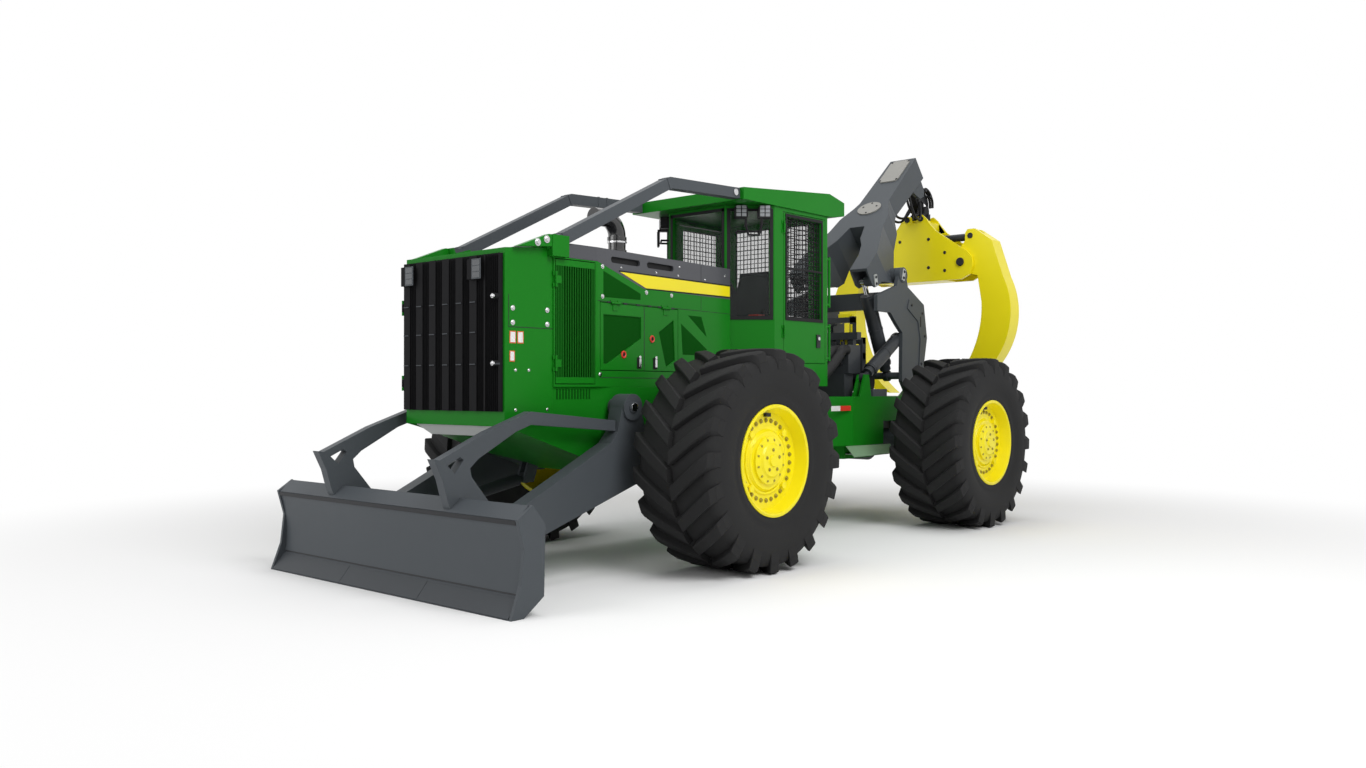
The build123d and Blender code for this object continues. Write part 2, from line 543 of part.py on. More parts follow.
cab_plan = [(-CAB_FACE_HALF, CAB_FRONT), (CAB_FACE_HALF, CAB_FRONT), (CAB_HALF, CAB_CORNER_Y), (CAB_HALF, CAB_BACK),
            (-CAB_HALF, CAB_BACK), (-CAB_HALF, CAB_CORNER_Y)]
with BuildPart() as cab_shell:
    plan_slab(cab_plan, *CAB_Z)
    with BuildSketch(Plane.XY.offset(CAB_Z[0] + CAB_WALL)) as room:
        with BuildLine():
            Polyline(*cab_plan, close=True)
        make_face()
        offset(amount=-CAB_WALL, kind=Kind.INTERSECTION)
    extrude(room.sketch, amount=CAB_Z[1], mode=Mode.SUBTRACT)
    # windscreen, rear window, corner windows and door openings
    block((-CAB_FACE_HALF + 45, CAB_FRONT - 50, HOOD_TOP + 25),
          (CAB_FACE_HALF - 45, CAB_FRONT + CAB_WALL + 20, WINDOW_Z[1]), mode=Mode.SUBTRACT)
    block((-480, CAB_BACK - CAB_WALL - 20, WINDOW_Z[0]), (480, CAB_BACK + 50, WINDOW_Z[1]), mode=Mode.SUBTRACT)
    with BuildPart(mode=Mode.PRIVATE) as side_cuts:
        extrude(outline([(45, WINDOW_Z[0]), (CORNER_DIR.length - 45, WINDOW_Z[0]),
                         (CORNER_DIR.length - 45, WINDOW_Z[1]), (45, WINDOW_Z[1])], CORNER_FACE.offset(40)),
                amount=-40 - CAB_WALL - 15)
        block((CAB_HALF - CAB_WALL - 20, DOOR_Y[0], SILL_Z), (CAB_HALF + 50, DOOR_Y[1], DOOR_TOP))
        mirror(about=Plane.YZ)
    add(side_cuts.part, mode=Mode.SUBTRACT)
    with BuildPart(mode=Mode.PRIVATE) as shell_hinges:
        for z in CAB_HINGE_Z:
            frame_hinge(cab_hinge(z), -30, HINGE_LIFT)
        mirror(about=Plane.YZ)
    add(shell_hinges.part)
save(cab_shell, "cab_shell")

with BuildPart() as cab_glass:
    depth = CAB_WALL / 2
    block((-CAB_FACE_HALF + 45 + GAP, CAB_FRONT + depth, HOOD_TOP + 25 + GAP),
          (CAB_FACE_HALF - 45 - GAP, CAB_FRONT + depth + GLASS_T, WINDOW_Z[1] - GAP))
    block((-480 + GAP, CAB_BACK - depth, WINDOW_Z[0] + GAP), (480 - GAP, CAB_BACK - depth + GLASS_T, WINDOW_Z[1] - GAP))
    with BuildPart(mode=Mode.PRIVATE) as corner_pane:
        extrude(outline([(45 + GAP, WINDOW_Z[0] + GAP), (CORNER_DIR.length - 45 - GAP, WINDOW_Z[0] + GAP),
                         (CORNER_DIR.length - 45 - GAP, WINDOW_Z[1] - GAP), (45 + GAP, WINDOW_Z[1] - GAP)],
                        CORNER_FACE.offset(-depth)), amount=-GLASS_T)
        mirror(about=Plane.YZ)
    add(corner_pane.part)
save(cab_glass, "cab_glass")

DOOR_T = 45.0
with BuildPart() as cab_door_left:
    block((CAB_HALF - DOOR_T, DOOR_Y[0] + SWING_GAP, SILL_Z + SWING_GAP),
          (CAB_HALF, DOOR_Y[1] - SWING_GAP, DOOR_TOP - SWING_GAP))
    block((CAB_HALF - DOOR_T - 10, DOOR_Y[0] + 55, WINDOW_Z[0]), (CAB_HALF + 10, DOOR_Y[1] - 70, WINDOW_Z[1] - 25),
          mode=Mode.SUBTRACT)
    for z in CAB_HINGE_Z:
        door_hinge(cab_hinge(z), 50, HINGE_LIFT)
both_sides(cab_door_left, ("cab_door_left", "cab_door_right"))

GUARD_PITCH = 96.0
GUARD_BAR = 9.0
GUARD_T = 6.0


def window_guard(low, high):
    """A grid of bars in its border, between two opposite corners of a window on one plane of x or y."""
    across = 1 if high[0] == low[0] else 0
    width, height = high[across] - low[across], high[2] - low[2]
    plane = Plane(origin=[(a + b) / 2 for a, b in zip(low, high)], x_dir=(1 - across, across, 0), z_dir=(across, across - 1, 0))
    columns, rows = round(width / GUARD_PITCH), round(height / GUARD_PITCH)
    with BuildSketch(plane) as grid:
        with GridLocations((width - GUARD_BAR) / columns, 0, columns + 1, 1):
            Rectangle(GUARD_BAR, height)
        with GridLocations(0, (height - GUARD_BAR) / rows, 1, rows + 1):
            Rectangle(width, GUARD_BAR)
    extrude(grid.sketch, amount=GUARD_T / 2, both=True)


with BuildPart() as door_guard_left:
    guard_x = CAB_HALF - DOOR_T / 2
    window_guard((guard_x, DOOR_Y[0] + 55 + GAP, WINDOW_Z[0] + GAP), (guard_x, DOOR_Y[1] - 70 - GAP, WINDOW_Z[1] - 25 - GAP))
both_sides(door_guard_left, ("door_guard_left", "door_guard_right"))

with BuildPart() as rear_guard:
    guard_y = CAB_BACK - GUARD_T
    window_guard((-480 + GAP, guard_y, WINDOW_Z[0] + GAP), (480 - GAP, guard_y, WINDOW_Z[1] - GAP))
save(rear_guard, "rear_guard")

ROOF_HALF = 700.0
ROOF_Y = (fy(866), fy(2263), fy(2530))
with BuildPart() as cab_roof:
    side_slab([(ROOF_Y[0], CAB_Z[1] + GAP), (ROOF_Y[0], 3288), (ROOF_Y[1], 3410), (ROOF_Y[2], 3350),
               (ROOF_Y[2], 3215), (CAB_BACK + 40, CAB_Z[1] + GAP)], -ROOF_HALF, ROOF_HALF)
save(cab_roof, "cab_roof")

# work lamps and guard hoops under the roof's front corners, handrails beside the corner windows
LAMP_R = 62.0
RAIL_R = 14.0
with BuildPart() as cab_fittings:
    hang = CAB_Z[1] + GAP
    for out in (0.30, 0.78):
        spot = CORNER_FACE.from_local_coords((CORNER_DIR.length * out, hang - 75, 0))
        face = Plane(origin=spot + CORNER_FACE.z_dir * GAP, z_dir=CORNER_FACE.z_dir)
        with BuildSketch(face) as lamp:
            RectangleRounded(2 * LAMP_R, 2 * LAMP_R - 10, 20)
        extrude(lamp.sketch, amount=85)
    # handrails on the rear wall, beside the corner post
    for z_from, z_to in ((1760, 2080), (2300, 2760)):
        for z in (z_from, z_to):
            rod((CAB_HALF - 40, CAB_BACK + GAP, z), (CAB_HALF - 40, CAB_BACK + 90, z), RAIL_R - 2)
        rod((CAB_HALF - 40, CAB_BACK + 90, z_from - 25), (CAB_HALF - 40, CAB_BACK + 90, z_to + 25), RAIL_R)
    mirror(about=Plane.YZ)
save(cab_fittings, "cab_fittings")

with BuildPart() as seat:
    floor = CAB_Z[0] + CAB_WALL
    block((-150, fy(1600), floor), (150, fy(1900), floor + 330))
    block((-260, fy(1500), floor + 330), (260, fy(2030), floor + 470))
    side_slab([(fy(1900), floor + 470), (fy(2030), floor + 470), (fy(2110), floor + 1120), (fy(2010), floor + 1120)],
              -250, 250)
save(seat, "seat")

with BuildPart() as console:
    side_slab([(CAB_FRONT + CAB_WALL + GAP, floor), (CAB_FRONT + CAB_WALL + 170, floor),
               (CAB_FRONT + CAB_WALL + 230, floor + 850), (CAB_FRONT + CAB_WALL + 120, floor + 960),
               (CAB_FRONT + CAB_WALL + GAP, floor + 960)], -270, 270)
    for side in (1, -1):
        xs = sorted((side * 330, side * 470))
        block((xs[0], fy(1520), floor), (xs[1], fy(2000), floor + 560))
        rod((side * 400, fy(1580), floor + 560), (side * 400, fy(1550), floor + 700), 18)
save(console, "console")

# ------------------------------------------------------------------ limb risers and exhaust
RISER_X = 611.0
RISER_W = 95.0
RISER_LINE = [(fy(-1334), 2575), (fy(-70), 3200), (ROOF_Y[0] - GAP, 3236)]
with BuildPart() as limb_risers:
    side_slab(band(RISER_LINE, RISER_W), RISER_X - RISER_W / 2, RISER_X + RISER_W / 2)
    block((RISER_X - 70, fy(-1420), LOUVRE_Z[1] + SWING_GAP), (RISER_X + 60, fy(-1250), 2620))
    block((0, fy(-2000), 2300), (BOX_HALF + GAP, BOX_BACK + GAP + 0.5, 2536), mode=Mode.SUBTRACT)
    block((0, fy(-1400), 2300), (HOOD_HALF + GAP, fy(-900), HOOD_TOP + GAP), mode=Mode.SUBTRACT)
    block((0, ROOF_Y[0] - GAP, 3000), (RISER_X + 100, ROOF_Y[0] + 100, 3400), mode=Mode.SUBTRACT)
    mirror(about=Plane.YZ)
save(limb_risers, "limb_risers")

STACK_R = 78.0
STACK_Y = fy(-60)
with BuildPart() as exhaust_stack:
    with BuildLine() as stack_path:
        FilletPolyline((0, STACK_Y, HOOD_TOP + GAP), (0, STACK_Y, 2950), (0, STACK_Y - 290, 2950), radius=150)
    with BuildSketch(Plane.XY.offset(HOOD_TOP + GAP)):
        with Locations((0, STACK_Y)):
            Circle(STACK_R)
    sweep(path=stack_path.line)
    # clamp bands
    for z in (2650, 2765):
        rod((0, STACK_Y, z), (0, STACK_Y, z + 30), STACK_R + 9)
save(exhaust_stack, "exhaust_stack")

# ------------------------------------------------------------------ blade
BLADE_HALF = 1500.0
END_T = 25.0
BLADE_BACK = fy(-2222)
BOARD_TOP = (fy(-2346), 713.0)
BOARD_LIP = (fy(-2446), 626.0)
BRACE_X = (690.0, 770.0)     # upper bars, |x|

with BuildPart() as blade_board:
    with BuildSketch(Plane.YZ.offset(-BLADE_HALF + END_T)) as board:
        with BuildLine():
            Polyline((fy(-2508), 0), (fy(-2398), 130))
            ThreePointArc((fy(-2398), 130), (fy(-2386), 370), BOARD_LIP)
            Polyline(BOARD_LIP, BOARD_TOP, (BLADE_BACK, 584), (BLADE_BACK, 540), (fy(-2330), 500),
                     (fy(-2352), 300), (fy(-2345), 190), (fy(-2234), 130), (fy(-2234), 110), (fy(-2404), 0),
                     (fy(-2508), 0))
        make_face()
    extrude(board.sketch, amount=2 * (BLADE_HALF - END_T))
    for side in (1, -1):
        xs = sorted((side * (BLADE_HALF - END_T), side * BLADE_HALF))
        side_slab([(fy(-2330), 715), (fy(-2455), 630), (fy(-2401), 438), (fy(-2428), 209), (fy(-2508), 0),
                   (fy(-2404), 0), (fy(-2234), 120), (BLADE_BACK, 584)], *xs)
        # flat backing between the two stiffeners, where each push arm is welded
        xs = sorted((side * (ARM_X[0] - 20), side * (ARM_X[1] + 20)))
        side_slab([(fy(-2370), 500), (fy(-2375), 200), (fy(-2300), 130), (BLADE_BACK - 12, 130),
                   (BLADE_BACK, 140), (BLADE_BACK, 560)], *xs)
        # ears for the blade cylinders' rods
        for x in (BLADE_CYL_X - EYE_HALF - 5 - EAR_T, BLADE_CYL_X + EYE_HALF + 5):
            xs = sorted((side * x, side * (x + EAR_T)))
            side_slab([(fy(-2350), 540), (fy(-2350), 320), (BLADE_CYL_TIP[0] + 10, BLADE_CYL_TIP[1] - 60),
                       (BLADE_CYL_TIP[0] + 50, BLADE_CYL_TIP[1]), (BLADE_CYL_TIP[0] + 10, BLADE_CYL_TIP[1] + 60)],
                      *xs)
save(blade_board, "blade_board")

with BuildPart() as blade_arms:
    side_slab([(BLADE_BACK, 190), (BLADE_BACK, 430), (fy(-1742), 648), (fy(-930), 1032), (fy(-850), 1120),
               (fy(-805), ARM_PIVOT[1]), (fy(-595), ARM_PIVOT[1]), (fy(-545), 1150), (fy(-545), 727),
               (fy(-763), 658), (fy(-1609), 389)], *ARM_X)
    cross_pin(ARM_PIVOT, 105, ARM_X[0], ARM_X[1] + 20)
    cross_pin(ARM_PIVOT, ARM_PIN_R + PIN_FIT, ARM_X[0] - 50, ARM_X[1] + 50, mode=Mode.SUBTRACT)
    mirror(about=Plane.YZ)
save(blade_arms, "blade_arms")

with BuildPart() as blade_braces:
    side_slab([(fy(-2560), 985), (fy(-2515), 977), (fy(-2105), 1157), (fy(-1713), 1291), (fy(-850), 1207),
               (fy(-850), 1125), (fy(-1713), 1196), (fy(-1856), 1149), (fy(-2190), 972), (fy(-2262), 910),
               (fy(-2250), 850), (fy(-1990), 536), (fy(-2010), 527), (BLADE_BACK + GAP, 431),
               (BLADE_BACK + GAP, 584), BOARD_TOP, (BOARD_LIP[0] + 20, 643.7), (fy(-2450), 700), (fy(-2490), 840)],
              *BRACE_X)
    side_slab([(fy(-2455), 940), (fy(-2345), 992), (fy(-2318), 970), (fy(-2390), 880)],
              BRACE_X[0] - 10, BRACE_X[1] + 10, mode=Mode.SUBTRACT)
    mirror(about=Plane.YZ)
save(blade_braces, "blade_braces")


# ------------------------------------------------------------------ rear frame
REAR_HALF = 550.0
REAR_Z = (850.0, 1370.0)
ARCH_PIVOT = (ry(338), 1350.0)
ARCH_PIN_R = 50.0
ARCH_X = (REAR_HALF + 5, REAR_HALF + 50)
ARCH_CYL_X = 500.0
ARCH_CYL_BASE = (ry(-600), 1571.0)
ARCH_CYL_TIP = (ry(290), 2130.0)
BOOM_CYL_X = 370.0
BOOM_CYL_BASE = (ry(110), 1600.0)
BOOM_CYL_TIP = (ry(-385), 2640.0)
BOOM_PIVOT = (ry(68), 2730.0)
REAR_NOSE = PIVOT_Y + 220
EYE_CLEAR = 5.0              # each side of a rod's eye between its ears
HITCH_Z = 1190.0
HITCH_SPACING = (300.0, 200.0)
HITCH_HOLE_R = 13.5
TOW_EYE_Y = ry(720)
TOW_EYE_R = 26.0
TOW_LUG_Z = (880.0, 940.0)

with BuildPart() as rear_frame:
    shoulder = ry(-882)
    plan_slab([(-240, REAR_NOSE), (240, REAR_NOSE), (REAR_HALF, shoulder), (REAR_HALF, ry(640)),
               (-REAR_HALF, ry(640)), (-REAR_HALF, shoulder)], *REAR_Z)
    block((-REAR_HALF - 10, ry(-270), REAR_Z[0] - 10), (REAR_HALF + 10, ry(270), FRAME_ARCH_Z + GAP),
          mode=Mode.SUBTRACT)
    block((-DRIVE_HALF - 20, ry(-270), REAR_Z[0]), (DRIVE_HALF + 20, ry(270), AXLE_Z + DRIVE_R + 25),
          mode=Mode.SUBTRACT)
    # hitch face with its four bolt holes, and the tow lug below them
    with BuildSketch(Plane.XZ.offset(-ry(640))):
        with Locations((0, HITCH_Z)):
            with GridLocations(*HITCH_SPACING, 2, 2):
                Circle(HITCH_HOLE_R)
    extrude(amount=60, mode=Mode.SUBTRACT)
    plan_slab([(-90, ry(630)), (90, ry(630)), (60, TOW_EYE_Y + 60), (-60, TOW_EYE_Y + 60)], *TOW_LUG_Z)
    rod((0, TOW_EYE_Y, TOW_LUG_Z[0] - 1), (0, TOW_EYE_Y, TOW_LUG_Z[1] + 1), TOW_EYE_R, mode=Mode.SUBTRACT)
    # belly box ahead of the axle
    plan_slab([(-200, shoulder - 60), (200, shoulder - 60), (400, shoulder + 60), (400, ry(-300)), (-400, ry(-300)),
               (-400, shoulder + 60)], 700, REAR_Z[0] + 10)
    # articulation ears
    for low, high in REAR_EAR_Z:
        plan_slab([(-HINGE_R, PIVOT_Y), (HINGE_R, PIVOT_Y), (HINGE_R, REAR_NOSE + 5), (-HINGE_R, REAR_NOSE + 5)],
                  low, high)
        rod((0, PIVOT_Y, low), (0, PIVOT_Y, high), HINGE_R)
        rod((0, PIVOT_Y, low - 1), (0, PIVOT_Y, high + 1), HINGE_PIN_R + PIN_FIT, mode=Mode.SUBTRACT)
    for side in (1, -1):
        # steering rod brackets
        for low in (STEER_Z - EYE_HALF - EYE_CLEAR - EAR_T, STEER_Z + EYE_HALF + EYE_CLEAR):
            plan_slab([(side * 300, STEER_TIP[1] - 10), (side * (STEER_TIP[0] + 20), STEER_TIP[1] - 45),
                       (side * (STEER_TIP[0] + 45), STEER_TIP[1]), (side * (STEER_TIP[0] + 45), STEER_TIP[1] + 260),
                       (side * 300, STEER_TIP[1] + 200)], low, low + EAR_T)
        # arch pivot towers and pins
        xs = sorted((side * (REAR_HALF - 60), side * REAR_HALF))
        side_slab([(ARCH_PIVOT[0] - 200, REAR_Z[1] - 5), (ARCH_PIVOT[0] - 80, ARCH_PIVOT[1] + 90),
                   (ARCH_PIVOT[0] + 80, ARCH_PIVOT[1] + 90), (ARCH_PIVOT[0] + 200, REAR_Z[1] - 5)], *xs)
        cross_pin(ARCH_PIVOT, ARCH_PIN_R, side * (REAR_HALF - 60), side * (ARCH_X[1] + 25))
        # arch cylinder ears on the deck
        for x in (ARCH_CYL_X - EYE_HALF - GAP - EAR_T, ARCH_CYL_X + EYE_HALF + GAP):
            ear = sorted((side * x, side * (x + EAR_T)))
            side_slab([(ARCH_CYL_BASE[0] - 150, REAR_Z[1] - 5), (ARCH_CYL_BASE[0] - 50, ARCH_CYL_BASE[1] + 35),
                       (ARCH_CYL_BASE[0] + 35, ARCH_CYL_BASE[1] + 35), (ARCH_CYL_BASE[0] + 80, REAR_Z[1] - 5)],
                      *ear)
        cross_pin(ARCH_CYL_BASE, 32, side * (ARCH_CYL_X - EYE_HALF - 15), side * (ARCH_CYL_X + EYE_HALF + 15))
save(rear_frame, "rear_frame")

# ------------------------------------------------------------------ arch
BEAM_Y = (ry(-75), ry(25))        # front cross beam, behind the boom cylinders
PLATE_NOSE = ry(-473)
with BuildPart() as arch:
    plate = [(PLATE_NOSE, 2300), (PLATE_NOSE, 2470), (ry(-60), 2600), (ry(0), 2760), (ry(130), 2770), (ry(180), 2600),
             (ry(546), 2420), (ry(620), 2040), (ry(540), 1700), (ry(470), 1350), (ry(430), 1240), (ry(246), 1240),
             (ry(206), 1350), (ry(50), 1540), (ry(50), 1660), (ry(60), 2080), (ry(-50), 2163), (ry(-200), 2294)]
    side_slab(plate, *ARCH_X)
    cross_pin(ARCH_PIVOT, ARCH_PIN_R + PIN_FIT, ARCH_X[0] - 10, ARCH_X[1] + 10, mode=Mode.SUBTRACT)
    # fork for the arch cylinder's rod, inboard of the plate
    fork = [(ARCH_CYL_TIP[0] - 50, ARCH_CYL_TIP[1] + 60), (ARCH_CYL_TIP[0] + 200, ARCH_CYL_TIP[1] + 120),
            (ARCH_CYL_TIP[0] + 200, ARCH_CYL_TIP[1] - 120), (ARCH_CYL_TIP[0] - 30, ARCH_CYL_TIP[1] - 60)]
    eye_room = EYE_HALF + EYE_CLEAR
    side_slab(fork, ARCH_CYL_X + eye_room, ARCH_X[0])
    side_slab(fork, ARCH_CYL_X - eye_room - EAR_T, ARCH_CYL_X - eye_room)
    block((ARCH_CYL_X - eye_room - EAR_T, ARCH_CYL_TIP[0] + 150, ARCH_CYL_TIP[1] - 100),
          (ARCH_X[0], ARCH_CYL_TIP[0] + 200, ARCH_CYL_TIP[1] + 100))
    # pin that carries the boom
    cross_pin(BOOM_PIVOT, 85, ARCH_X[0] - 20, ARCH_X[1] + 10)
    cross_pin(BOOM_PIVOT, 45, 410, ARCH_X[0])
    mirror(about=Plane.YZ)
    # front beam, and the cross tube that carries the boom cylinders
    block((-ARCH_X[0], BEAM_Y[0], 2350), (ARCH_X[0], BEAM_Y[1], 2540))
    cross_pin(BOOM_CYL_BASE, 40, -ARCH_X[0], ARCH_X[0])
save(arch, "arch")

# ------------------------------------------------------------------ boom
BOOM_SLOPE = 0.901           # rise of the boom's front face per unit of y
BOOM_TOP = (ry(1118), 4270.0)
LEG_INNER, LEG_OUTER = 300.0, 520.0
LEG_PLATE = 22.0
LINK_PIN = (BOOM_TOP[0] + 212, BOOM_TOP[1] - 390)
LINK_PIN_R = 35.0
LINK_HALF = 85.0


BOOM_N = sqrt(1 + BOOM_SLOPE ** 2)
# local y runs up the slope of the boom's front face, from its top edge
BOOM_PLANE = Plane(origin=(0, *BOOM_TOP), x_dir=(1, 0, 0), z_dir=(0, -BOOM_SLOPE, 1))


def boom_face(y):
    """Height of the boom's front face at a station."""
    return BOOM_TOP[1] - (BOOM_TOP[0] - y) * BOOM_SLOPE


def both_halves(half):
    """A closed outline from the points of its +x half."""
    return half + [(-x, y) for x, y in reversed(half)]


with BuildPart() as boom:
    foot = ry(-560)
    (tip_y, tip_z), (pivot_y, pivot_z), (top_y, top_z) = BOOM_CYL_TIP, BOOM_PIVOT, BOOM_TOP
    side_slab([BOOM_TOP, (foot, boom_face(foot)), (foot + 20, tip_z + 75), (tip_y - 65, tip_z - 50),
               (tip_y, tip_z - 75), (tip_y + 65, tip_z - 50), (tip_y + 145, tip_z), (pivot_y - 68, pivot_z - 82),
               (pivot_y, pivot_z - 90), (pivot_y + 82, pivot_z - 40), (pivot_y + 92, pivot_z + 100),
               (pivot_y + 432, pivot_z + 680), (top_y + 80, top_z - 310), (top_y + 190, top_z - 220)],
              -LEG_OUTER, LEG_OUTER)
    # seen square to the front face: a narrow head that spreads into two legs
    head_outline = both_halves([(170, 800), (174, 0), (200, -900), (235, -1010), (330, -1210), (362, -1450),
                                (LEG_OUTER, -1980), (LEG_OUTER, -2700)])
    with BuildPart(mode=Mode.PRIVATE) as spread:
        extrude(outline(head_outline, BOOM_PLANE.offset(50)), amount=-2500)
    add(spread.part, mode=Mode.INTERSECT)
    gap_outline = both_halves([(100, -1410), (158, -1657), (233, -1789), (291, -1989), (LEG_INNER, -2222),
                               (LEG_INNER, -3500)])
    extrude(outline(gap_outline, BOOM_PLANE.offset(50)), amount=-2500, mode=Mode.SUBTRACT)
    for side in (1, -1):
        # each leg is a channel around its cylinder's upper end
        channel = [(262, -1800), (443, -1800), (LEG_OUTER - LEG_PLATE, -1985), (LEG_OUTER - LEG_PLATE, -2700),
                   (LEG_INNER + LEG_PLATE, -2700), (LEG_INNER + LEG_PLATE, -2222), (313, -1989)]
        extrude(outline([(side * x, y) for x, y in channel], BOOM_PLANE.offset(-30)), amount=-2500,
                mode=Mode.SUBTRACT)
        # bosses beside the cylinder's eye and around the pivot pin
        eye_room = EYE_HALF + EYE_CLEAR
        cross_pin(BOOM_CYL_TIP, 60, side * (LEG_INNER + 5), side * (BOOM_CYL_X - eye_room))
        cross_pin(BOOM_CYL_TIP, 60, side * (BOOM_CYL_X + eye_room), side * LEG_OUTER)
        cross_pin(BOOM_PIVOT, 85, side * (LEG_INNER - 20), side * (ARCH_X[0] - 27))
        cross_pin(BOOM_PIVOT, 45 + PIN_FIT, side * 405, side * (ARCH_X[0] + 10), mode=Mode.SUBTRACT)
        # cheeks that hold the hanging link
        xs = sorted((side * (LINK_HALF + GAP), side * (LINK_HALF + 45)))
        link_y, link_z = LINK_PIN
        side_slab([(top_y + 2, top_z - 355), (top_y + 132, top_z - 240), (top_y + 190, top_z - 220),
                   (link_y + 75, link_z + 40), (link_y + 75, link_z - 40), (link_y - 20, link_z - 80),
                   (top_y + 32, top_z - 420)], *xs)
    cross_pin(LINK_PIN, LINK_PIN_R, -LINK_HALF - 20, LINK_HALF + 20)
save(boom, "boom")

with BuildPart() as boom_covers:
    with BuildSketch(BOOM_PLANE.offset(GAP)) as plates:
        with Locations((0, -266)):
            RectangleRounded(260, 457, 60)
        with Locations((0, -1047)):
            Ellipse(150, 120)
    extrude(plates.sketch, amount=14)
save(boom_covers, "boom_covers")

# ------------------------------------------------------------------ hanging link, rotator and grapple
GRAPPLE_HALF = 160.0         # outside of the grapple head's plates either side of its middle
GRAPPLE_Y = ry(GRAPPLE_REACH - GRAPPLE_HALF)
HANGER_PIN = (GRAPPLE_Y, LINK_PIN[1] - 200)
HANGER_X = (50.0, 90.0)
ROTATOR_BASE = HANGER_PIN[1] - 125

with BuildPart() as swing_link:
    cross_pin(LINK_PIN, 65, -LINK_HALF, LINK_HALF)
    cross_pin(HANGER_PIN, 60, -HANGER_X[0] + 5, HANGER_X[0] - 5)
    side_slab(band([LINK_PIN, HANGER_PIN], 95), -HANGER_X[0] + 5, HANGER_X[0] - 5)
    for pin, radius in ((LINK_PIN, LINK_PIN_R), (HANGER_PIN, LINK_PIN_R)):
        cross_pin(pin, radius + PIN_FIT, -LINK_HALF - 1, LINK_HALF + 1, mode=Mode.SUBTRACT)
save(swing_link, "swing_link")

with BuildPart() as rotator:
    rod((0, GRAPPLE_Y, ROTATOR_BASE), (0, GRAPPLE_Y, HANGER_PIN[1] - 75), 120)
    for side in (1, -1):
        xs = sorted((side * HANGER_X[0], side * HANGER_X[1]))
        block((xs[0], GRAPPLE_Y - 60, ROTATOR_BASE), (xs[1], GRAPPLE_Y + 60, HANGER_PIN[1]))
        cross_pin(HANGER_PIN, 60, *xs)
    cross_pin(HANGER_PIN, LINK_PIN_R, -HANGER_X[1], HANGER_X[1])
save(rotator, "rotator")

HEAD_TOP = ROTATOR_BASE - 35


def head_outline_at(points):
    """(x, z) points of the grapple from (x, depth below the top of its head) points."""
    return [(x, HEAD_TOP - depth) for x, depth in points]


TONG_PIVOT = (630.0, HEAD_TOP - 530)
TONG_PIN_R = 40.0
TONG_HALF = 115.0
TONG_LEVER = (734.0, HEAD_TOP - 216)
HEAD_PLATE = 30.0
HEAD_DEPTH = 740.0

with BuildPart() as grapple_head:
    half_plate = head_outline_at([(0, HEAD_DEPTH), (640, HEAD_DEPTH), (745, 690), (790, 580), (780, 480), (720, 410),
                                  (295, 120), (190, 0), (0, 0)])
    for side in (1, -1):
        near, far = sorted((GRAPPLE_Y + side * (GRAPPLE_HALF - HEAD_PLATE), GRAPPLE_Y + side * GRAPPLE_HALF))
        front_slab(half_plate + [(-x, z) for x, z in half_plate[-2:0:-1]], near, far)
    inner_y = GRAPPLE_HALF - HEAD_PLATE
    floor_z = HEAD_TOP - HEAD_DEPTH
    block((-430, GRAPPLE_Y - inner_y, floor_z), (430, GRAPPLE_Y + inner_y, floor_z + 35))
    block((-190, GRAPPLE_Y - inner_y, HEAD_TOP - 120), (190, GRAPPLE_Y + inner_y, HEAD_TOP))
    rod((0, GRAPPLE_Y, HEAD_TOP - 20), (0, GRAPPLE_Y, ROTATOR_BASE - GAP), 130)
    for side in (1, -1):
        rod((side * TONG_PIVOT[0], GRAPPLE_Y - GRAPPLE_HALF - 12, TONG_PIVOT[1]),
            (side * TONG_PIVOT[0], GRAPPLE_Y + GRAPPLE_HALF, TONG_PIVOT[1]), TONG_PIN_R)
save(grapple_head, "grapple_head")


def build_tong(with_pin):
    """A curved tong around its pivot, with a fork for the cylinder at its lever end."""
    inner_curve = head_outline_at([(360, 2119.5), (852, 1355), (880, 1020)])
    shoulder = head_outline_at([(880, 1020), (830, 705), (710, 670), (520, 630), (480, 530), (560, 410), (668, 270),
                                (668, 180), (700, 135), (790, 135), (1010, 292), (1155, 735)])
    outer_curve = head_outline_at([(1155, 735), (1172, 1530), (360, 2120)])
    with BuildSketch(Plane.XZ.offset(-(GRAPPLE_Y - TONG_HALF))) as face:
        with BuildLine():
            Line(outer_curve[-1], inner_curve[0])
            ThreePointArc(*inner_curve)
            Polyline(*shoulder)
            ThreePointArc(*outer_curve)
        make_face()
    extrude(face.sketch, amount=-2 * TONG_HALF)
    fork_room = EYE_HALF + EYE_CLEAR
    block((400, GRAPPLE_Y - fork_room, TONG_LEVER[1] - 125),
          (TONG_LEVER[0] + 130, GRAPPLE_Y + fork_room, HEAD_TOP - 20),
          mode=Mode.SUBTRACT)
    rod((TONG_PIVOT[0], GRAPPLE_Y - 200, TONG_PIVOT[1]), (TONG_PIVOT[0], GRAPPLE_Y + 200, TONG_PIVOT[1]),
        TONG_PIN_R + PIN_FIT, mode=Mode.SUBTRACT)
    if with_pin:
        rod((TONG_LEVER[0], GRAPPLE_Y - fork_room - 10, TONG_LEVER[1]),
            (TONG_LEVER[0], GRAPPLE_Y + fork_room + 10, TONG_LEVER[1]), 25)


with BuildPart() as tong_left:
    build_tong(True)
save(tong_left, "tong_left")

with BuildPart() as tong_right_mirrored:
    build_tong(False)
with BuildPart() as tong_right:
    mirror(tong_right_mirrored.part, about=Plane.YZ)
save(tong_right, "tong_right")


# ------------------------------------------------------------------ hydraulic cylinders
ROD_SHARE = 0.46             # rod radius as a share of the barrel's


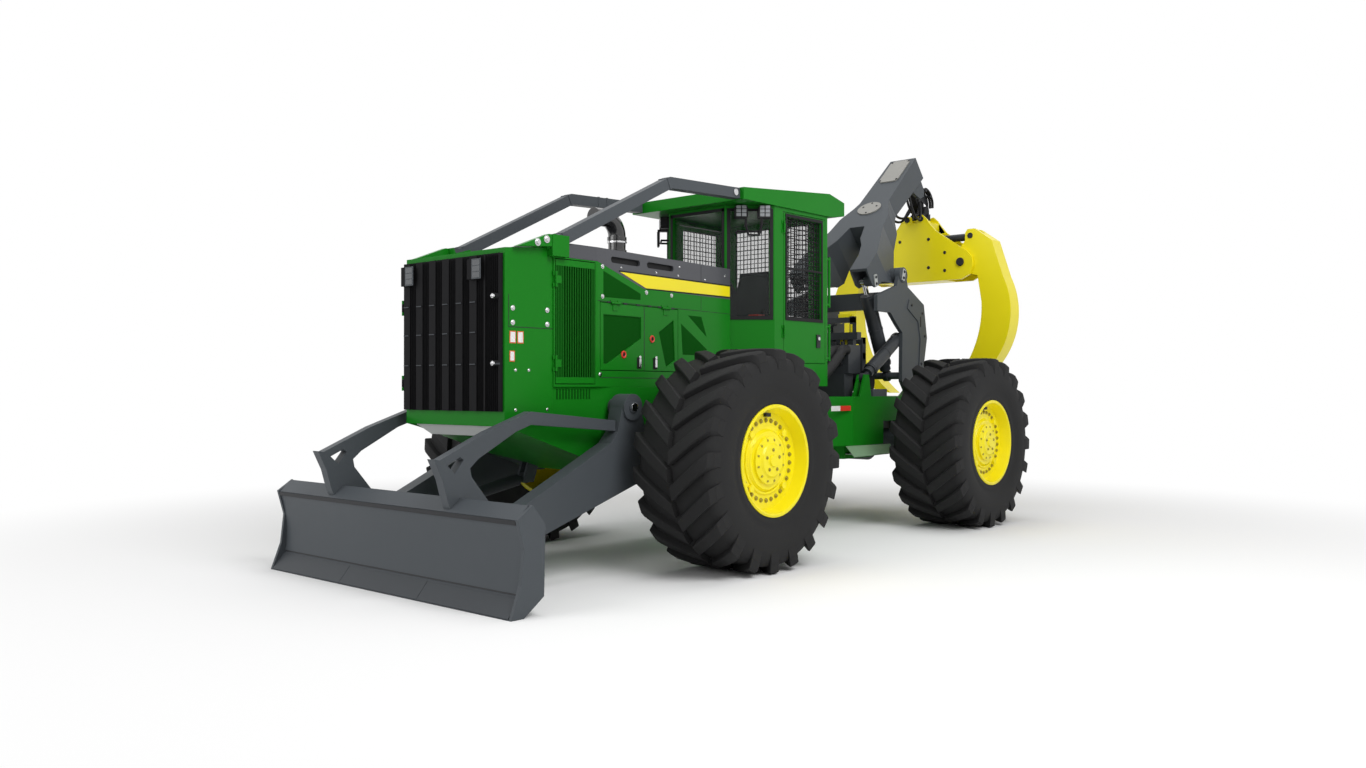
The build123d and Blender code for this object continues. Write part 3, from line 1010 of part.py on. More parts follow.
def build_barrel(base, tip, pin_dir, radius, pin_r, neck, length):
    """A barrel behind a narrow neck and the eye on its base pin, aimed at the tip, bored for its rod."""
    base, tip = Vector(*base), Vector(*tip)
    aim = (tip - base).normalized()
    rod(base + aim * neck, base + aim * length, radius)
    rod(base + aim * (pin_r + 5), base + aim * (neck + 5), EYE_HALF - 1)
    rod(base - pin_dir * EYE_HALF, base + pin_dir * EYE_HALF, pin_r + 22)
    rod(base - pin_dir * 100, base + pin_dir * 100, pin_r + PIN_FIT, mode=Mode.SUBTRACT)
    rod(base + aim * (neck + 20), base + aim * (length + 5), radius * ROD_SHARE + GAP, mode=Mode.SUBTRACT)


def build_rod(base, tip, pin_dir, radius, inside):
    """A piston rod from inside its barrel to the eye at its tip."""
    base, tip = Vector(*base), Vector(*tip)
    aim = (tip - base).normalized()
    rod(base + aim * inside, tip, radius * ROD_SHARE)
    rod(tip - pin_dir * EYE_HALF, tip + pin_dir * EYE_HALF, radius * 0.75)


ALONG_X, ALONG_Y, ALONG_Z = Vector(1, 0, 0), Vector(0, 1, 0), Vector(0, 0, 1)
CYLINDER_PAIRS = [  # name, base, tip, barrel radius, base pin radius, neck, barrel length, rod start
    ("blade_cylinder", (BLADE_CYL_X, *BLADE_CYL_BASE), (BLADE_CYL_X, *BLADE_CYL_TIP), 52, 25, 85, 900, 500),
    ("arch_cylinder", (ARCH_CYL_X, *ARCH_CYL_BASE), (ARCH_CYL_X, *ARCH_CYL_TIP), 58, 32, 95, 700, 150),
    ("boom_cylinder", (BOOM_CYL_X, *BOOM_CYL_BASE), (BOOM_CYL_X, *BOOM_CYL_TIP), 62, 40, 75, 850, 560),
]
for name, base, tip, radius, pin_r, neck, length, inside in CYLINDER_PAIRS:
    with BuildPart() as barrels:
        build_barrel(base, tip, ALONG_X, radius, pin_r, neck, length)
        mirror(about=Plane.YZ)
    save(barrels, f"{name}_barrels")
    with BuildPart() as rods:
        build_rod(base, tip, ALONG_X, radius, inside)
        mirror(about=Plane.YZ)
    save(rods, f"{name}_rods")

steer_ends = ((*STEER_BASE, STEER_Z), (*STEER_TIP, STEER_Z))
with BuildPart() as steer_barrel:
    build_barrel(*steer_ends, ALONG_Z, 42, 25, 80, 850)
both_sides(steer_barrel, ("steer_barrel_left", "steer_barrel_right"))
with BuildPart() as steer_rod:
    build_rod(*steer_ends, ALONG_Z, 42, 490)
both_sides(steer_rod, ("steer_rod_left", "steer_rod_right"))

tong_ends = ((TONG_LEVER[0], GRAPPLE_Y, TONG_LEVER[1]), (-TONG_LEVER[0], GRAPPLE_Y, TONG_LEVER[1]))
with BuildPart() as tong_cylinder_barrel:
    build_barrel(*tong_ends, ALONG_Y, 45, 25, 95, 835)
save(tong_cylinder_barrel, "tong_cylinder_barrel")
with BuildPart() as tong_cylinder_rod:
    build_rod(*tong_ends, ALONG_Y, 45, 665)
save(tong_cylinder_rod, "tong_cylinder_rod")
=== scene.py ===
"""Looks for the grapple skidder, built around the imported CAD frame.

Places are in metres in the row frame: x to the machine's left, y backwards, z up from the ground.
"""
import bpy
import json
import math
from mathutils import Matrix, Vector


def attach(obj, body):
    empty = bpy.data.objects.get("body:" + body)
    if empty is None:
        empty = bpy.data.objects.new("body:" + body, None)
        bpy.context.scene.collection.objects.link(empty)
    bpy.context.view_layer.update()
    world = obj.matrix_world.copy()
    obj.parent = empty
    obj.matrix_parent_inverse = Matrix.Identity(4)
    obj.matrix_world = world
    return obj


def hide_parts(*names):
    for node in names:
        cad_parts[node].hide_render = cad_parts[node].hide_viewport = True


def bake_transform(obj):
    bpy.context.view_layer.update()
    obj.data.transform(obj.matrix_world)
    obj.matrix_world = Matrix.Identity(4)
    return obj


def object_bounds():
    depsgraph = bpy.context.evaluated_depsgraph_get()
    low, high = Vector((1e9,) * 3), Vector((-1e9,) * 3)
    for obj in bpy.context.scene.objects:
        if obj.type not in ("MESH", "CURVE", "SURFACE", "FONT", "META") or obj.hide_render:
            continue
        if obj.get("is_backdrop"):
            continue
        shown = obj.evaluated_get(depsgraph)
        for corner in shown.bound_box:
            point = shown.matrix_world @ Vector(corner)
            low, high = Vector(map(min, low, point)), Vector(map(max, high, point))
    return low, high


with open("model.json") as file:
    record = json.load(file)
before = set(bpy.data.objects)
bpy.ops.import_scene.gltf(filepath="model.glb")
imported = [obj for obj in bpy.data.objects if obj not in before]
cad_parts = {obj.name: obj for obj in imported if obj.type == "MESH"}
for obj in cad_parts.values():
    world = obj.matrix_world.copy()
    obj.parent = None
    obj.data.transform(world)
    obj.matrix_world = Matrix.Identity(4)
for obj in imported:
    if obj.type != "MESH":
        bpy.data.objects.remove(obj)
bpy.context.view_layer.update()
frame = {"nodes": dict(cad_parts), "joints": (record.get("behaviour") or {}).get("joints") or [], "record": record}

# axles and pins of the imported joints, and the directions of its slides
PINS = {joint["name"]: joint["pos_m"] for joint in frame["joints"] if "pos_m" in joint}
AXES = {joint["name"]: joint["axis"] for joint in frame["joints"]}
WHEEL_X, FRONT_AXLE, TYRE_R = PINS["wheel_spin_front_left"]
REAR_AXLE = PINS["wheel_spin_rear_left"][1]
PIVOT = PINS["articulation"][1]
FRONT, REAR = "front_chassis", "rear_chassis"
scene = bpy.context.scene
SIDES = ((1, "left"), (-1, "right"))


def fy(distance):
    """A station behind the front axle."""
    return FRONT_AXLE + distance


def ry(distance):
    """A station behind the rear axle."""
    return REAR_AXLE + distance


# ---- materials
EDGE_SOFTNESS, ROUGH_SPREAD, CLEAR_ROUGH = 0.004, 0.03, 0.12
PATCH_SCALE, PATCH_DETAIL, GRAIN_DETAIL, GRAIN_DEPTH = 2.2, 4.0, 3.0, 0.004


def new_material(name):
    mat = bpy.data.materials.new(name)
    mat.use_nodes = True
    return mat, mat.node_tree.nodes, mat.node_tree.links


def set_inputs(node, **values):
    """Sets inputs of a node by name, with _ for a space, and gives the node back."""
    for name, value in values.items():
        node.inputs[name.replace("_", " ")].default_value = value
    return node


def object_noise(nodes, links, scale, detail):
    """Noise in the piece's own space, so that it moves with the piece."""
    place = nodes.new("ShaderNodeTexCoord")
    noise = set_inputs(nodes.new("ShaderNodeTexNoise"), Scale=scale, Detail=detail)
    links.new(place.outputs["Object"], noise.inputs["Vector"])
    return noise


def mottle_colour(nodes, links, shader, noise, first, second):
    """A base colour that drifts between two close ones."""
    mix = nodes.new("ShaderNodeMix")
    mix.data_type = "RGBA"
    set_inputs(mix, A=(*first, 1), B=(*second, 1))
    links.new(noise.outputs["Fac"], mix.inputs["Factor"])
    links.new(mix.outputs["Result"], shader.inputs["Base Color"])


def coat(name, colour, rough, metal=0.0, clear=0.0, grain=12.0, bump=0.0, mottle=0.04, shine=0.5):
    """Painted or plain surface: slight mottling, uneven roughness, softened edges, optional fine bump."""
    mat, nodes, links = new_material(name)
    shader = set_inputs(nodes["Principled BSDF"], Metallic=metal, Coat_Weight=clear,
                        Coat_Roughness=CLEAR_ROUGH, Specular_IOR_Level=shine)
    patches = object_noise(nodes, links, PATCH_SCALE, PATCH_DETAIL)
    darker = [c * (1 - mottle) for c in colour]
    lighter = [min(1, c * (1 + mottle)) for c in colour]
    mottle_colour(nodes, links, shader, patches, darker, lighter)
    fine = object_noise(nodes, links, grain, GRAIN_DETAIL)
    span = nodes.new("ShaderNodeMapRange")
    set_inputs(span, To_Min=rough - ROUGH_SPREAD, To_Max=rough + ROUGH_SPREAD)
    links.new(fine.outputs["Fac"], span.inputs["Value"])
    links.new(span.outputs["Result"], shader.inputs["Roughness"])
    soft = set_inputs(nodes.new("ShaderNodeBevel"), Radius=EDGE_SOFTNESS)
    soft.samples = 4
    normal = soft.outputs["Normal"]
    if bump:
        relief = set_inputs(nodes.new("ShaderNodeBump"), Strength=bump, Distance=GRAIN_DEPTH)
        links.new(fine.outputs["Fac"], relief.inputs["Height"])
        links.new(normal, relief.inputs["Normal"])
        normal = relief.outputs["Normal"]
    links.new(normal, shader.inputs["Normal"])
    return mat


def glass(name, tint, alpha):
    """Window glass: a tinted, mostly clear sheet with a sharp reflection."""
    mat, nodes, links = new_material(name)
    shader = set_inputs(nodes["Principled BSDF"], Roughness=0.03, Alpha=alpha, Specular_IOR_Level=0.6)
    patches = object_noise(nodes, links, 1.3, 2.0)
    mottle_colour(nodes, links, shader, patches, tint, [c * 0.92 for c in tint])
    return mat


COATS = {  # base colour, roughness, and whatever differs from a plain surface
    "green_paint": ((0.008, 0.190, 0.010), 0.32, {"clear": 0.05, "shine": 0.1}),
    "louvre_green": ((0.005, 0.110, 0.006), 0.5, {"shine": 0.08}),
    "mesh_green": ((0.002, 0.072, 0.003), 0.7, {"bump": 0.3, "grain": 260.0, "shine": 0.06}),
    "pale_green": ((0.200, 0.330, 0.200), 0.45, {"shine": 0.3}),
    "yellow_paint": ((0.93, 0.80, 0.006), 0.36, {"clear": 0.2, "shine": 0.3}),
    "stripe_yellow": ((0.95, 0.80, 0.006), 0.3, {"clear": 0.2, "shine": 0.3}),
    "grey_paint": ((0.068, 0.077, 0.086), 0.46, {"clear": 0.03, "shine": 0.2}),
    # darker grey: painted shade on the sloping cutting edges, and the grey of the grille door's dashes
    "edge_paint": ((0.050, 0.056, 0.063), 0.45, {"shine": 0.25}),
    "hood_grey": ((0.066, 0.068, 0.078), 0.4, {"clear": 0.15, "shine": 0.35}),
    "pale_grey": ((0.45, 0.47, 0.46), 0.5, {}),
    "cover_paint": ((0.285, 0.28, 0.26), 0.5, {}),
    "grille_black": ((0.010, 0.010, 0.011), 0.75, {"shine": 0.12}),
    "exhaust_black": ((0.008, 0.008, 0.009), 0.16, {"clear": 0.8}),
    "black_parts": ((0.012, 0.012, 0.013), 0.6, {"shine": 0.18}),
    "dark_steel": ((0.024, 0.025, 0.028), 0.5, {"metal": 0.2, "shine": 0.3}),
    "dark_cylinder": ((0.034, 0.038, 0.043), 0.42, {"clear": 0.1, "shine": 0.25}),
    "chrome_rod": ((0.62, 0.62, 0.63), 0.14, {"metal": 1.0, "mottle": 0.02}),
    "dull_bolt": ((0.36, 0.29, 0.03), 0.4, {"metal": 0.4}),
    "tyre_rubber": ((0.018, 0.018, 0.0185), 0.75,
                    {"bump": 0.12, "grain": 70.0, "mottle": 0.12, "shine": 0.2}),
    "hose_rubber": ((0.010, 0.010, 0.011), 0.6, {"bump": 0.15, "grain": 200.0, "shine": 0.3}),
    "seat_cloth": ((0.03, 0.03, 0.032), 0.9, {"bump": 0.4, "grain": 180.0}),
    "lamp_glass": ((0.055, 0.062, 0.070), 0.2, {"clear": 0.6}),
    "lens": ((0.26, 0.27, 0.29), 0.2, {"clear": 0.4}),
    "white_plate": ((0.80, 0.80, 0.78), 0.4, {}),
    "orange_edge": ((0.75, 0.13, 0.03), 0.4, {}),
    "red_plastic": ((0.70, 0.04, 0.02), 0.35, {}),
}
MAT = {name: coat(name, colour, rough, **extra) for name, (colour, rough, extra) in COATS.items()}
MAT["cab_glass"] = glass("cab_glass", (0.02, 0.03, 0.028), 0.16)

OWN_COAT = {"hood": "hood_grey", "grille_door": "grille_black", "exhaust_stack": "exhaust_black"}
SLOT_OF = {subpart["node"]: subpart["material_slot"] for subpart in frame["record"]["subparts"]}
for node_name, node in frame["nodes"].items():
    node.data.materials.clear()
    node.data.materials.append(MAT[OWN_COAT.get(node_name, SLOT_OF[node_name])])


def repaint(node_name, material, wanted):
    """A second paint on those faces of one CAD node whose middle passes a test."""
    mesh = frame["nodes"][node_name].data
    mesh.materials.append(MAT[material])
    last = len(mesh.materials) - 1
    for face in mesh.polygons:
        if wanted(face.center):
            face.material_index = last


# ---- piece builder
def skin(rows, n, closed=False):
    """Quads between rows of n points, each row a loop; the rows may close on themselves as well."""
    pairs = [(i, (i + 1) % rows) for i in range(rows if closed else rows - 1)]
    return [(i * n + k, i * n + (k + 1) % n, j * n + (k + 1) % n, j * n + k)
            for i, j in pairs for k in range(n)]


def end_caps(rows, n):
    """The first row the other way round, and the last row."""
    return [list(range(n))[::-1], list(range((rows - 1) * n, rows * n))]


def circle(centre, spoke, axis, count):
    """Points round a centre, where a spoke comes as it turns about an axis."""
    return [centre + Matrix.Rotation(2 * math.pi * k / count, 3, axis) @ spoke for k in range(count)]


def rectangle(centre, across, up, half_width, half_height):
    """Four corners about a centre, along two directions."""
    corners = ((-1, -1), (1, -1), (1, 1), (-1, 1))
    return [centre + across * (i * half_width) + up * (j * half_height) for i, j in corners]


def mirrored(side, v):
    """A place or direction on the machine's left, or its mirror image on the right."""
    return Vector((side * v.x, v.y, v.z))


def smooth_path(points, steps):
    """A rounded line through a few points."""
    points = [Vector(p) for p in points]
    padded = [points[0] * 2 - points[1]] + points + [points[-1] * 2 - points[-2]]
    line = []
    for a, b, c, d in zip(padded, padded[1:], padded[2:], padded[3:]):
        for k in range(steps):
            t = k / steps
            line.append(((b * 2) + (c - a) * t + (a * 2 - b * 5 + c * 4 - d) * t * t
                         + (b * 3 - a - c * 3 + d) * t ** 3) / 2)
    return line + [points[-1]]


class Kit:
    """Collects simple solids and makes one object of them."""

    def __init__(self):
        self.verts, self.faces = [], []

    def add(self, verts, faces):
        first = len(self.verts)
        self.verts += [tuple(v) for v in verts]
        self.faces += [[first + i for i in face] for face in faces]

    def loft(self, rings, closed=False):
        """A skin over loops of points, with caps where the loops don't close on themselves."""
        rows, n = len(rings), len(rings[0])
        caps = [] if closed else end_caps(rows, n)
        self.add([p for ring in rings for p in ring], skin(rows, n, closed) + caps)

    def prism(self, outline, depth):
        """A flat outline pushed along a vector."""
        outline = [Vector(p) for p in outline]
        self.loft([outline, [p + Vector(depth) for p in outline]])

    def box(self, corner, opposite):
        """A box between any two opposite corners."""
        (a, d), (b, e), (c, f) = (sorted(pair) for pair in zip(corner, opposite))
        self.prism([(a, b, c), (d, b, c), (d, e, c), (a, e, c)], (0, 0, f - c))

    def disc(self, start, end, radius, end_radius=None, sides=24):
        """A round bar or cone between two points."""
        start, end = Vector(start), Vector(end)
        along = (end - start).normalized()
        spoke = along.orthogonal().normalized()
        end_spoke = spoke * (radius if end_radius is None else end_radius)
        self.loft([circle(start, spoke * radius, along, sides), circle(end, end_spoke, along, sides)])

    def pipe(self, path, radius, sides=10, closed=False):
        """A round tube along a line of points."""
        path = [Vector(p) for p in path]
        n = len(path)
        rings = []
        up = None
        for i, here in enumerate(path):
            before = path[i - 1] if i or closed else here
            after = path[(i + 1) % n] if i < n - 1 or closed else here
            along = (after - before).normalized()
            up = along.orthogonal().normalized() if up is None else (up - along * up.dot(along)).normalized()
            rings.append(circle(here, up * radius, along, sides))
        self.loft(rings, closed)

    def bolt(self, place, normal, radius=0.012, height=0.009):
        """A hexagon head on its washer."""
        place, normal = Vector(place), Vector(normal).normalized()
        self.disc(place, place + normal * height * 0.3, radius * 1.45, sides=16)
        self.disc(place, place + normal * height, radius, radius * 0.92, sides=6)

    def move(self, offset, tilt=0.0):
        """Tilts everything so far about the X axis, then moves it."""
        turn = Matrix.Rotation(tilt, 3, "X")
        self.verts = [tuple(turn @ Vector(v) + Vector(offset)) for v in self.verts]

    def make(self, name, material, body, smooth=30):
        """One object that rides a body; edges up to the angle smooth look rounded."""
        mesh = bpy.data.meshes.new(name)
        mesh.from_pydata(self.verts, [], self.faces)
        mesh.update()
        mesh.polygons.foreach_set("use_smooth", [True] * len(mesh.polygons))
        mesh.set_sharp_from_angle(angle=math.radians(smooth))
        mesh.materials.append(MAT[material])
        obj = bpy.data.objects.new(name, mesh)
        scene.collection.objects.link(obj)
        if body:
            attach(obj, body)
        return obj


def kits(count):
    """Several empty kits."""
    return [Kit() for i in range(count)]


# ---- wheels
WALL = [  # half of the tyre's section, from rim to tread: x from the wheel's middle, radius
    (0.349, 0.447), (0.357, 0.475), (0.360, 0.50), (0.357, 0.515), (0.368, 0.55), (0.379, 0.61),
    (0.3825, 0.66), (0.3815, 0.71), (0.374, 0.76), (0.360, 0.80), (0.335, 0.826), (0.30, 0.834),
    (0.15, 0.838)]
TYRE_STEPS = 120
LUGS = 20
LUG_LEAD = math.pi + math.atan2(-0.188, 0.8689)  # turn of the first lug
LUG_START, LUG_LEAN, LUG_ARC_R = -0.136, 0.7285, 0.87
LUG_STATIONS = [  # x, radius of the top, radius of the foot
    (0.004, 0.8885, 0.80), (0.09, 0.8885, 0.81), (0.18, 0.8885, 0.81), (0.27, 0.888, 0.80),
    (0.345, 0.884, 0.78), (0.372, 0.872, 0.76), (0.3815, 0.80, 0.72)]
RIM_BOLTS = [  # how many, turn of the first in steps, x, circle radius, head radius, head height
    (30, 0.0, 0.250, 0.318, 0.013, 0.016),
    (12, 0.5, 0.295, 0.165, 0.011, 0.012),
    (5, 0.0, 0.325, 0.085, 0.010, 0.010)]


def round_axle(x, radius, turn):
    """A point about the X axis, turned backwards from straight up."""
    return x, radius * math.sin(turn), radius * math.cos(turn)


def lug_section(top, foot):
    """Distance round the tyre and radius of a lug's six corners."""
    return [(-0.068, foot), (-0.056, top - 0.006), (-0.046, top),
            (0.046, top), (0.056, top - 0.006), (0.072, foot)]


def build_tyre(kit, lead_side):
    """Carcass and lugs about the X axis; lugs on lead_side have one edge straight below the axle."""
    section = WALL + [(0.0, 0.8385)] + [(-x, r) for x, r in reversed(WALL)]
    turns = [2 * math.pi * i / TYRE_STEPS for i in range(TYRE_STEPS)]
    kit.loft([[round_axle(x, r, -a) for x, r in section] for a in turns], closed=True)
    for side in (1, -1):
        lead = LUG_LEAD + (0 if side == lead_side else math.pi / LUGS)
        for i in range(LUGS):
            turn = lead + 2 * math.pi * i / LUGS
            verts = [round_axle(side * x, r, (LUG_START + LUG_LEAN * x + off) / LUG_ARC_R - turn)
                     for x, top, foot in LUG_STATIONS for off, r in lug_section(top, foot)]
            rows = len(LUG_STATIONS)
            corners = len(verts) // rows
            kit.add(verts, skin(rows, corners) + [cap[::-1] for cap in end_caps(rows, corners)])


def build_wheel_bolts(kit, out):
    """The bolts on the rim's outboard side."""
    for count, first, x, circle_r, radius, height in RIM_BOLTS:
        for i in range(count):
            place = round_axle(out * x, circle_r, 2 * math.pi * (i + first) / count)
            kit.bolt(place, (out, 0, 0), radius, height)


def build_wheel_trim(kit, out):
    """Hub cap, a raised ring on the disc that is open at the top, and the rim's lip."""
    kit.disc((out * 0.324, 0, 0), (out * 0.338, 0, 0), 0.050, 0.044, 32)
    ring = [round_axle(out * 0.252, 0.262, math.radians(40 + 280 * k / 40)) for k in range(41)]
    kit.pipe(ring, 0.013, 8)
    lip = [round_axle(out * 0.350, 0.428, 2 * math.pi * k / 96) for k in range(96)]
    kit.pipe(lip, 0.010, 8, closed=True)


def build_wheel_valve(kit, out):
    """The small block at the top of the disc."""
    kit.box((out * 0.250, -0.03, 0.345), (out * 0.280, 0.03, 0.375))


WHEEL_PIECES = [  # name, material, builder, smoothing angle
    ("tyre_detail", "tyre_rubber", build_tyre, 35),
    ("wheel_trim_detail", "yellow_paint", build_wheel_trim, 35),
    ("wheel_bolts_detail", "dull_bolt", build_wheel_bolts, 35),
    ("valve", "dark_steel", build_wheel_valve, 30)]
for end, axle in (("front", FRONT_AXLE), ("rear", REAR_AXLE)):
    for side, word in SIDES:
        for piece, material, builder, smooth in WHEEL_PIECES:
            kit = Kit()
            builder(kit, side)
            kit.move((side * WHEEL_X, axle, TYRE_R))
            made = kit.make(f"{piece}_{end}_{word}", material, f"wheel_{end}_{word}", smooth)
            if builder is build_tyre:
                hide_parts(f"tyre_{end}_{word}")

# ---- grille door and cooling box
NOSE, BOX = fy(-1.830), 0.610
LAMP_W, LAMP_H, LAMP_FOOT, LAMP_RIM = 0.110, 0.150, 2.266, 0.012
LENS_ROWS, LENS_PITCH, LENS_H = 3, 0.045, 0.040
DASH_HEIGHTS = (1.638, 1.875, 2.100)
BLANK_PLATES = [  # on the left side: front and back station, bottom and top
    (-1.785, -1.725, 1.79, 1.88), (-1.712, -1.652, 1.79, 1.88), (-1.785, -1.735, 1.655, 1.735)]
PLATE_RIM, LINE_THICK = 0.007, 0.0012

lens, frames, latches = kits(3)
for x in (-0.523, 0.320):
    frames.box((x, NOSE - 0.0752, LAMP_FOOT), (x + LAMP_W, NOSE - 0.0770, LAMP_FOOT + LAMP_H))
    for i in range(LENS_ROWS):
        z = LAMP_FOOT + 0.010 + i * LENS_PITCH
        lens.box((x + LAMP_RIM, NOSE - 0.0771, z), (x + LAMP_W - LAMP_RIM, NOSE - 0.0790, z + LENS_H))
for z in (1.641, 2.130):
    latches.disc((0.572, NOSE - 0.071, z), (0.572, NOSE - 0.085, z), 0.017)
    latches.bolt((0.572, NOSE - 0.085, z), (0, -1, 0), 0.008, 0.012)
frames.make("grille_lamp_frames", "grey_paint", "grille_door")
lens.make("grille_lamp_lenses", "lamp_glass", "grille_door")
latches.make("grille_latches", "chrome_rod", "grille_door")
repaint("grille_door", "edge_paint",
        lambda p: p.y < NOSE - 0.0435 and any(abs(p.z - z) < 0.006 for z in DASH_HEIGHTS))

# the engine sides below add their own seams to the same kit
seams, bolts, plates, borders = kits(4)
for side in (1, -1):
    x0, x1 = side * BOX, side * (BOX + LINE_THICK)
    seams.box((x0, fy(-1.795), 1.912), (x1, fy(-1.790), 2.150))
    seams.box((x0, fy(-1.795), 1.908), (x1, fy(-1.366), 1.913))
    for y in (-1.755, -1.420):
        for z in (2.049, 1.942):
            bolts.bolt((x0, fy(y), z), (side, 0, 0), 0.014, 0.011)
    for y, z in ((-1.727, 1.594), (-1.60, 1.594), (-1.727, 1.30), (-1.42, 1.30)):
        bolts.bolt((x0, fy(y), z), (side, 0, 0), 0.008, 0.007)
for y0, y1, z0, z1 in BLANK_PLATES:
    borders.box((BOX, fy(y0), z0), (BOX + 0.0015, fy(y1), z1))
    plates.box((BOX + 0.0015, fy(y0) + PLATE_RIM, z0 + PLATE_RIM),
               (BOX + 0.0025, fy(y1) - PLATE_RIM, z1 - PLATE_RIM))
bolts.make("cooling_box_bolts", "chrome_rod", FRONT)
borders.make("plate_borders", "orange_edge", FRONT)
plates.make("blank_plates", "white_plate", FRONT)

guard = Kit()
guard.prism([(-0.50, NOSE + 0.015, 1.1795), (0.50, NOSE + 0.015, 1.1795),
             (0.36, NOSE + 0.06, 1.10), (-0.36, NOSE + 0.06, 1.10)], (0, 0.012, 0))
guard.make("nose_underguard", "pale_grey", FRONT)
repaint("belly_pan", "green_paint", lambda p: abs(p.x) < 0.30)

# ---- engine sides and hood
HOOD_HALF, HOOD_START, TAPER = 0.620, fy(-0.900), 0.109
SIDE_RUN = Vector((-TAPER, 1, 0)).normalized()
SIDE_OUT = Vector((SIDE_RUN.y, -SIDE_RUN.x, 0))
SIDE_END, HOOD_JOINT = 1.935, 1.456  # metres along the side, as s below
DOOR_TOP, PANEL_FOOT = 2.154, 1.545
STRIPE = [(0.284, 2.405), (SIDE_END, 2.410), (SIDE_END, 2.315), (0.635, 2.298)]
SCREENS = [  # perforated panels: body, how far the face stands off the side, outline as (s, z)
    (None, 0.0, [(0.073, 2.395), (0.557, 2.246), (0.557, 2.195), (0.073, 2.187)]),
    ("engine_door", -0.0095, [(0.076, 2.047), (0.564, 2.047), (0.564, 1.876), (0.399, 1.793),
                              (0.119, 1.658), (0.076, 1.658)]),
    ("engine_door", -0.0095, [(0.819, 1.935), (1.028, 2.045), (1.047, 1.702), (0.922, 1.644)]),
    (None, 0.0, [(1.145, 2.024), (1.545, 1.813), (1.520, 1.757), (1.169, 1.755)]),
    (None, 0.0, [(1.252, 2.104), (1.458, 2.102), (1.545, 1.925)])]
HOOD_BOLTS = [  # head radius, head height, places as (s, z)
    (0.013, 0.010, [(0.060, 2.428), (0.060, 2.190), (0.640, 2.262), (1.000, 2.262), (0.030, 1.57)]),
    (0.007, 0.006, [(0.300, 2.440), (0.78, 2.440), (1.10, 2.440), (1.52, 2.440), (1.12, 2.52), (1.85, 2.50)])]
PULLS, PULL_R = [(0.330, 1.734), (0.717, 1.874)], 0.024
CATCHES, CATCH_TOP = (0.538, 0.761), 1.716
LOUVRE_MIDDLE, LOUVRE_PITCH, LOUVRE_TOP = fy(-1.1125), 0.025, 2.397


def on_side(side, s, z, lift=0.0):
    """A point on the engine side: s along it from where it begins to taper, z up, lift outward."""
    return mirrored(side, Vector((HOOD_HALF, HOOD_START, z)) + SIDE_RUN * s + SIDE_OUT * lift)


def side_plate(kit, side, outline, lift, thick):
    """A flat plate on the engine side."""
    kit.prism([on_side(side, s, z, lift) for s, z in outline], mirrored(side, SIDE_OUT) * thick)


def upright(s0, s1, z0, z1):
    """Outline of an upright rectangle between its limits."""
    return [(s0, z0), (s1, z0), (s1, z1), (s0, z1)]


def strip(kit, side, start, end, width=0.005, thick=0.001):
    """A thin straight line on the engine side, such as a seam."""
    (s0, z0), (s1, z1) = start, end
    half = width / 2 / math.hypot(s1 - s0, z1 - z0)
    ds, dz = -(z1 - z0) * half, (s1 - s0) * half
    outline = [(s0 + ds, z0 + dz), (s1 + ds, z1 + dz), (s1 - ds, z1 - dz), (s0 - ds, z0 - dz)]
    side_plate(kit, side, outline, 0.0, thick)


def dress_side_panels(side):
    """Stripe, vent backs, seams, hinge tabs and bolts of one engine side."""
    side_plate(stripe, side, STRIPE, 0.0002, LINE_THICK)
    strip(stripe_edge, side, (0.27, 2.411), (SIDE_END, 2.4165), 0.012, LINE_THICK)
    strip(stripe_edge, side, (0.635, 2.2925), (SIDE_END, 2.3085), 0.010, LINE_THICK)
    for s0, s1 in ((0.158, 0.561), (0.638, 1.040)):
        side_plate(vent_backs, side, upright(s0, s1, 2.460, 2.530), -0.034, 0.010)
    strip(hood_lines, side, (HOOD_JOINT, 2.420), (HOOD_JOINT, 2.573), 0.004)
    strip(seams, side, (HOOD_JOINT, 2.160), (HOOD_JOINT, 2.288), 0.004)
    strip(seams, side, (0.0, DOOR_TOP), (SIDE_END, DOOR_TOP), 0.004)
    strip(seams, side, (0.03, PANEL_FOOT), (1.10, PANEL_FOOT), 0.005)
    for s in (0.12, 0.33, 0.50, 0.66, 0.80, 0.99):
        strip(tabs, side, (s, 2.150), (s + 0.045, 2.150), 0.014, 0.004)
    for radius, height, places in HOOD_BOLTS:
        for s, z in places:
            hood_bolts.bolt(on_side(side, s, z), mirrored(side, SIDE_OUT), radius, height)


def make_screens(side, word):
    """The perforated panels, some of which ride the engine door."""
    for owner, lift, outline in SCREENS:
        kit = Kit()
        side_plate(kit, side, outline, lift, 0.0015)
        body = f"{owner}_{word}" if owner else FRONT
        kit.make(f"screen_{word}_{round(outline[0][0] * 1000)}", "mesh_green", body)


def make_engine_door(side, word):
    """What rides the engine door: its middle seam, two red pulls and two catches in their pockets."""
    out = mirrored(side, SIDE_OUT)
    seam, pulls, pockets, catches = kits(4)
    strip(seam, side, (0.610, 1.608), (0.610, 2.140), 0.007)
    for s, z in PULLS:
        centre = on_side(side, s, z, 0.002)
        pulls.pipe(circle(centre, Vector((0, 0, PULL_R)), out, 24), 0.009, 8, closed=True)
        pockets.disc(centre - out * 0.004, centre + out * 0.004, 0.017)
    for s in CATCHES:
        side_plate(pockets, side, upright(s - 0.028, s + 0.028, 1.622, CATCH_TOP), 0.0, 0.004)
        side_plate(catches, side, upright(s - 0.014, s + 0.014, 1.636, 1.702), 0.004, 0.012)
        catches.disc(on_side(side, s, CATCH_TOP, 0.004), on_side(side, s, CATCH_TOP, 0.016), 0.014)
    body = f"engine_door_{word}"
    seam.make(f"engine_door_seam_{word}", "dark_steel", body)
    pulls.make(f"door_pulls_{word}", "red_plastic", body)
    pockets.make(f"door_catch_pockets_{word}", "black_parts", body)
    catches.make(f"door_catches_{word}", "chrome_rod", body)


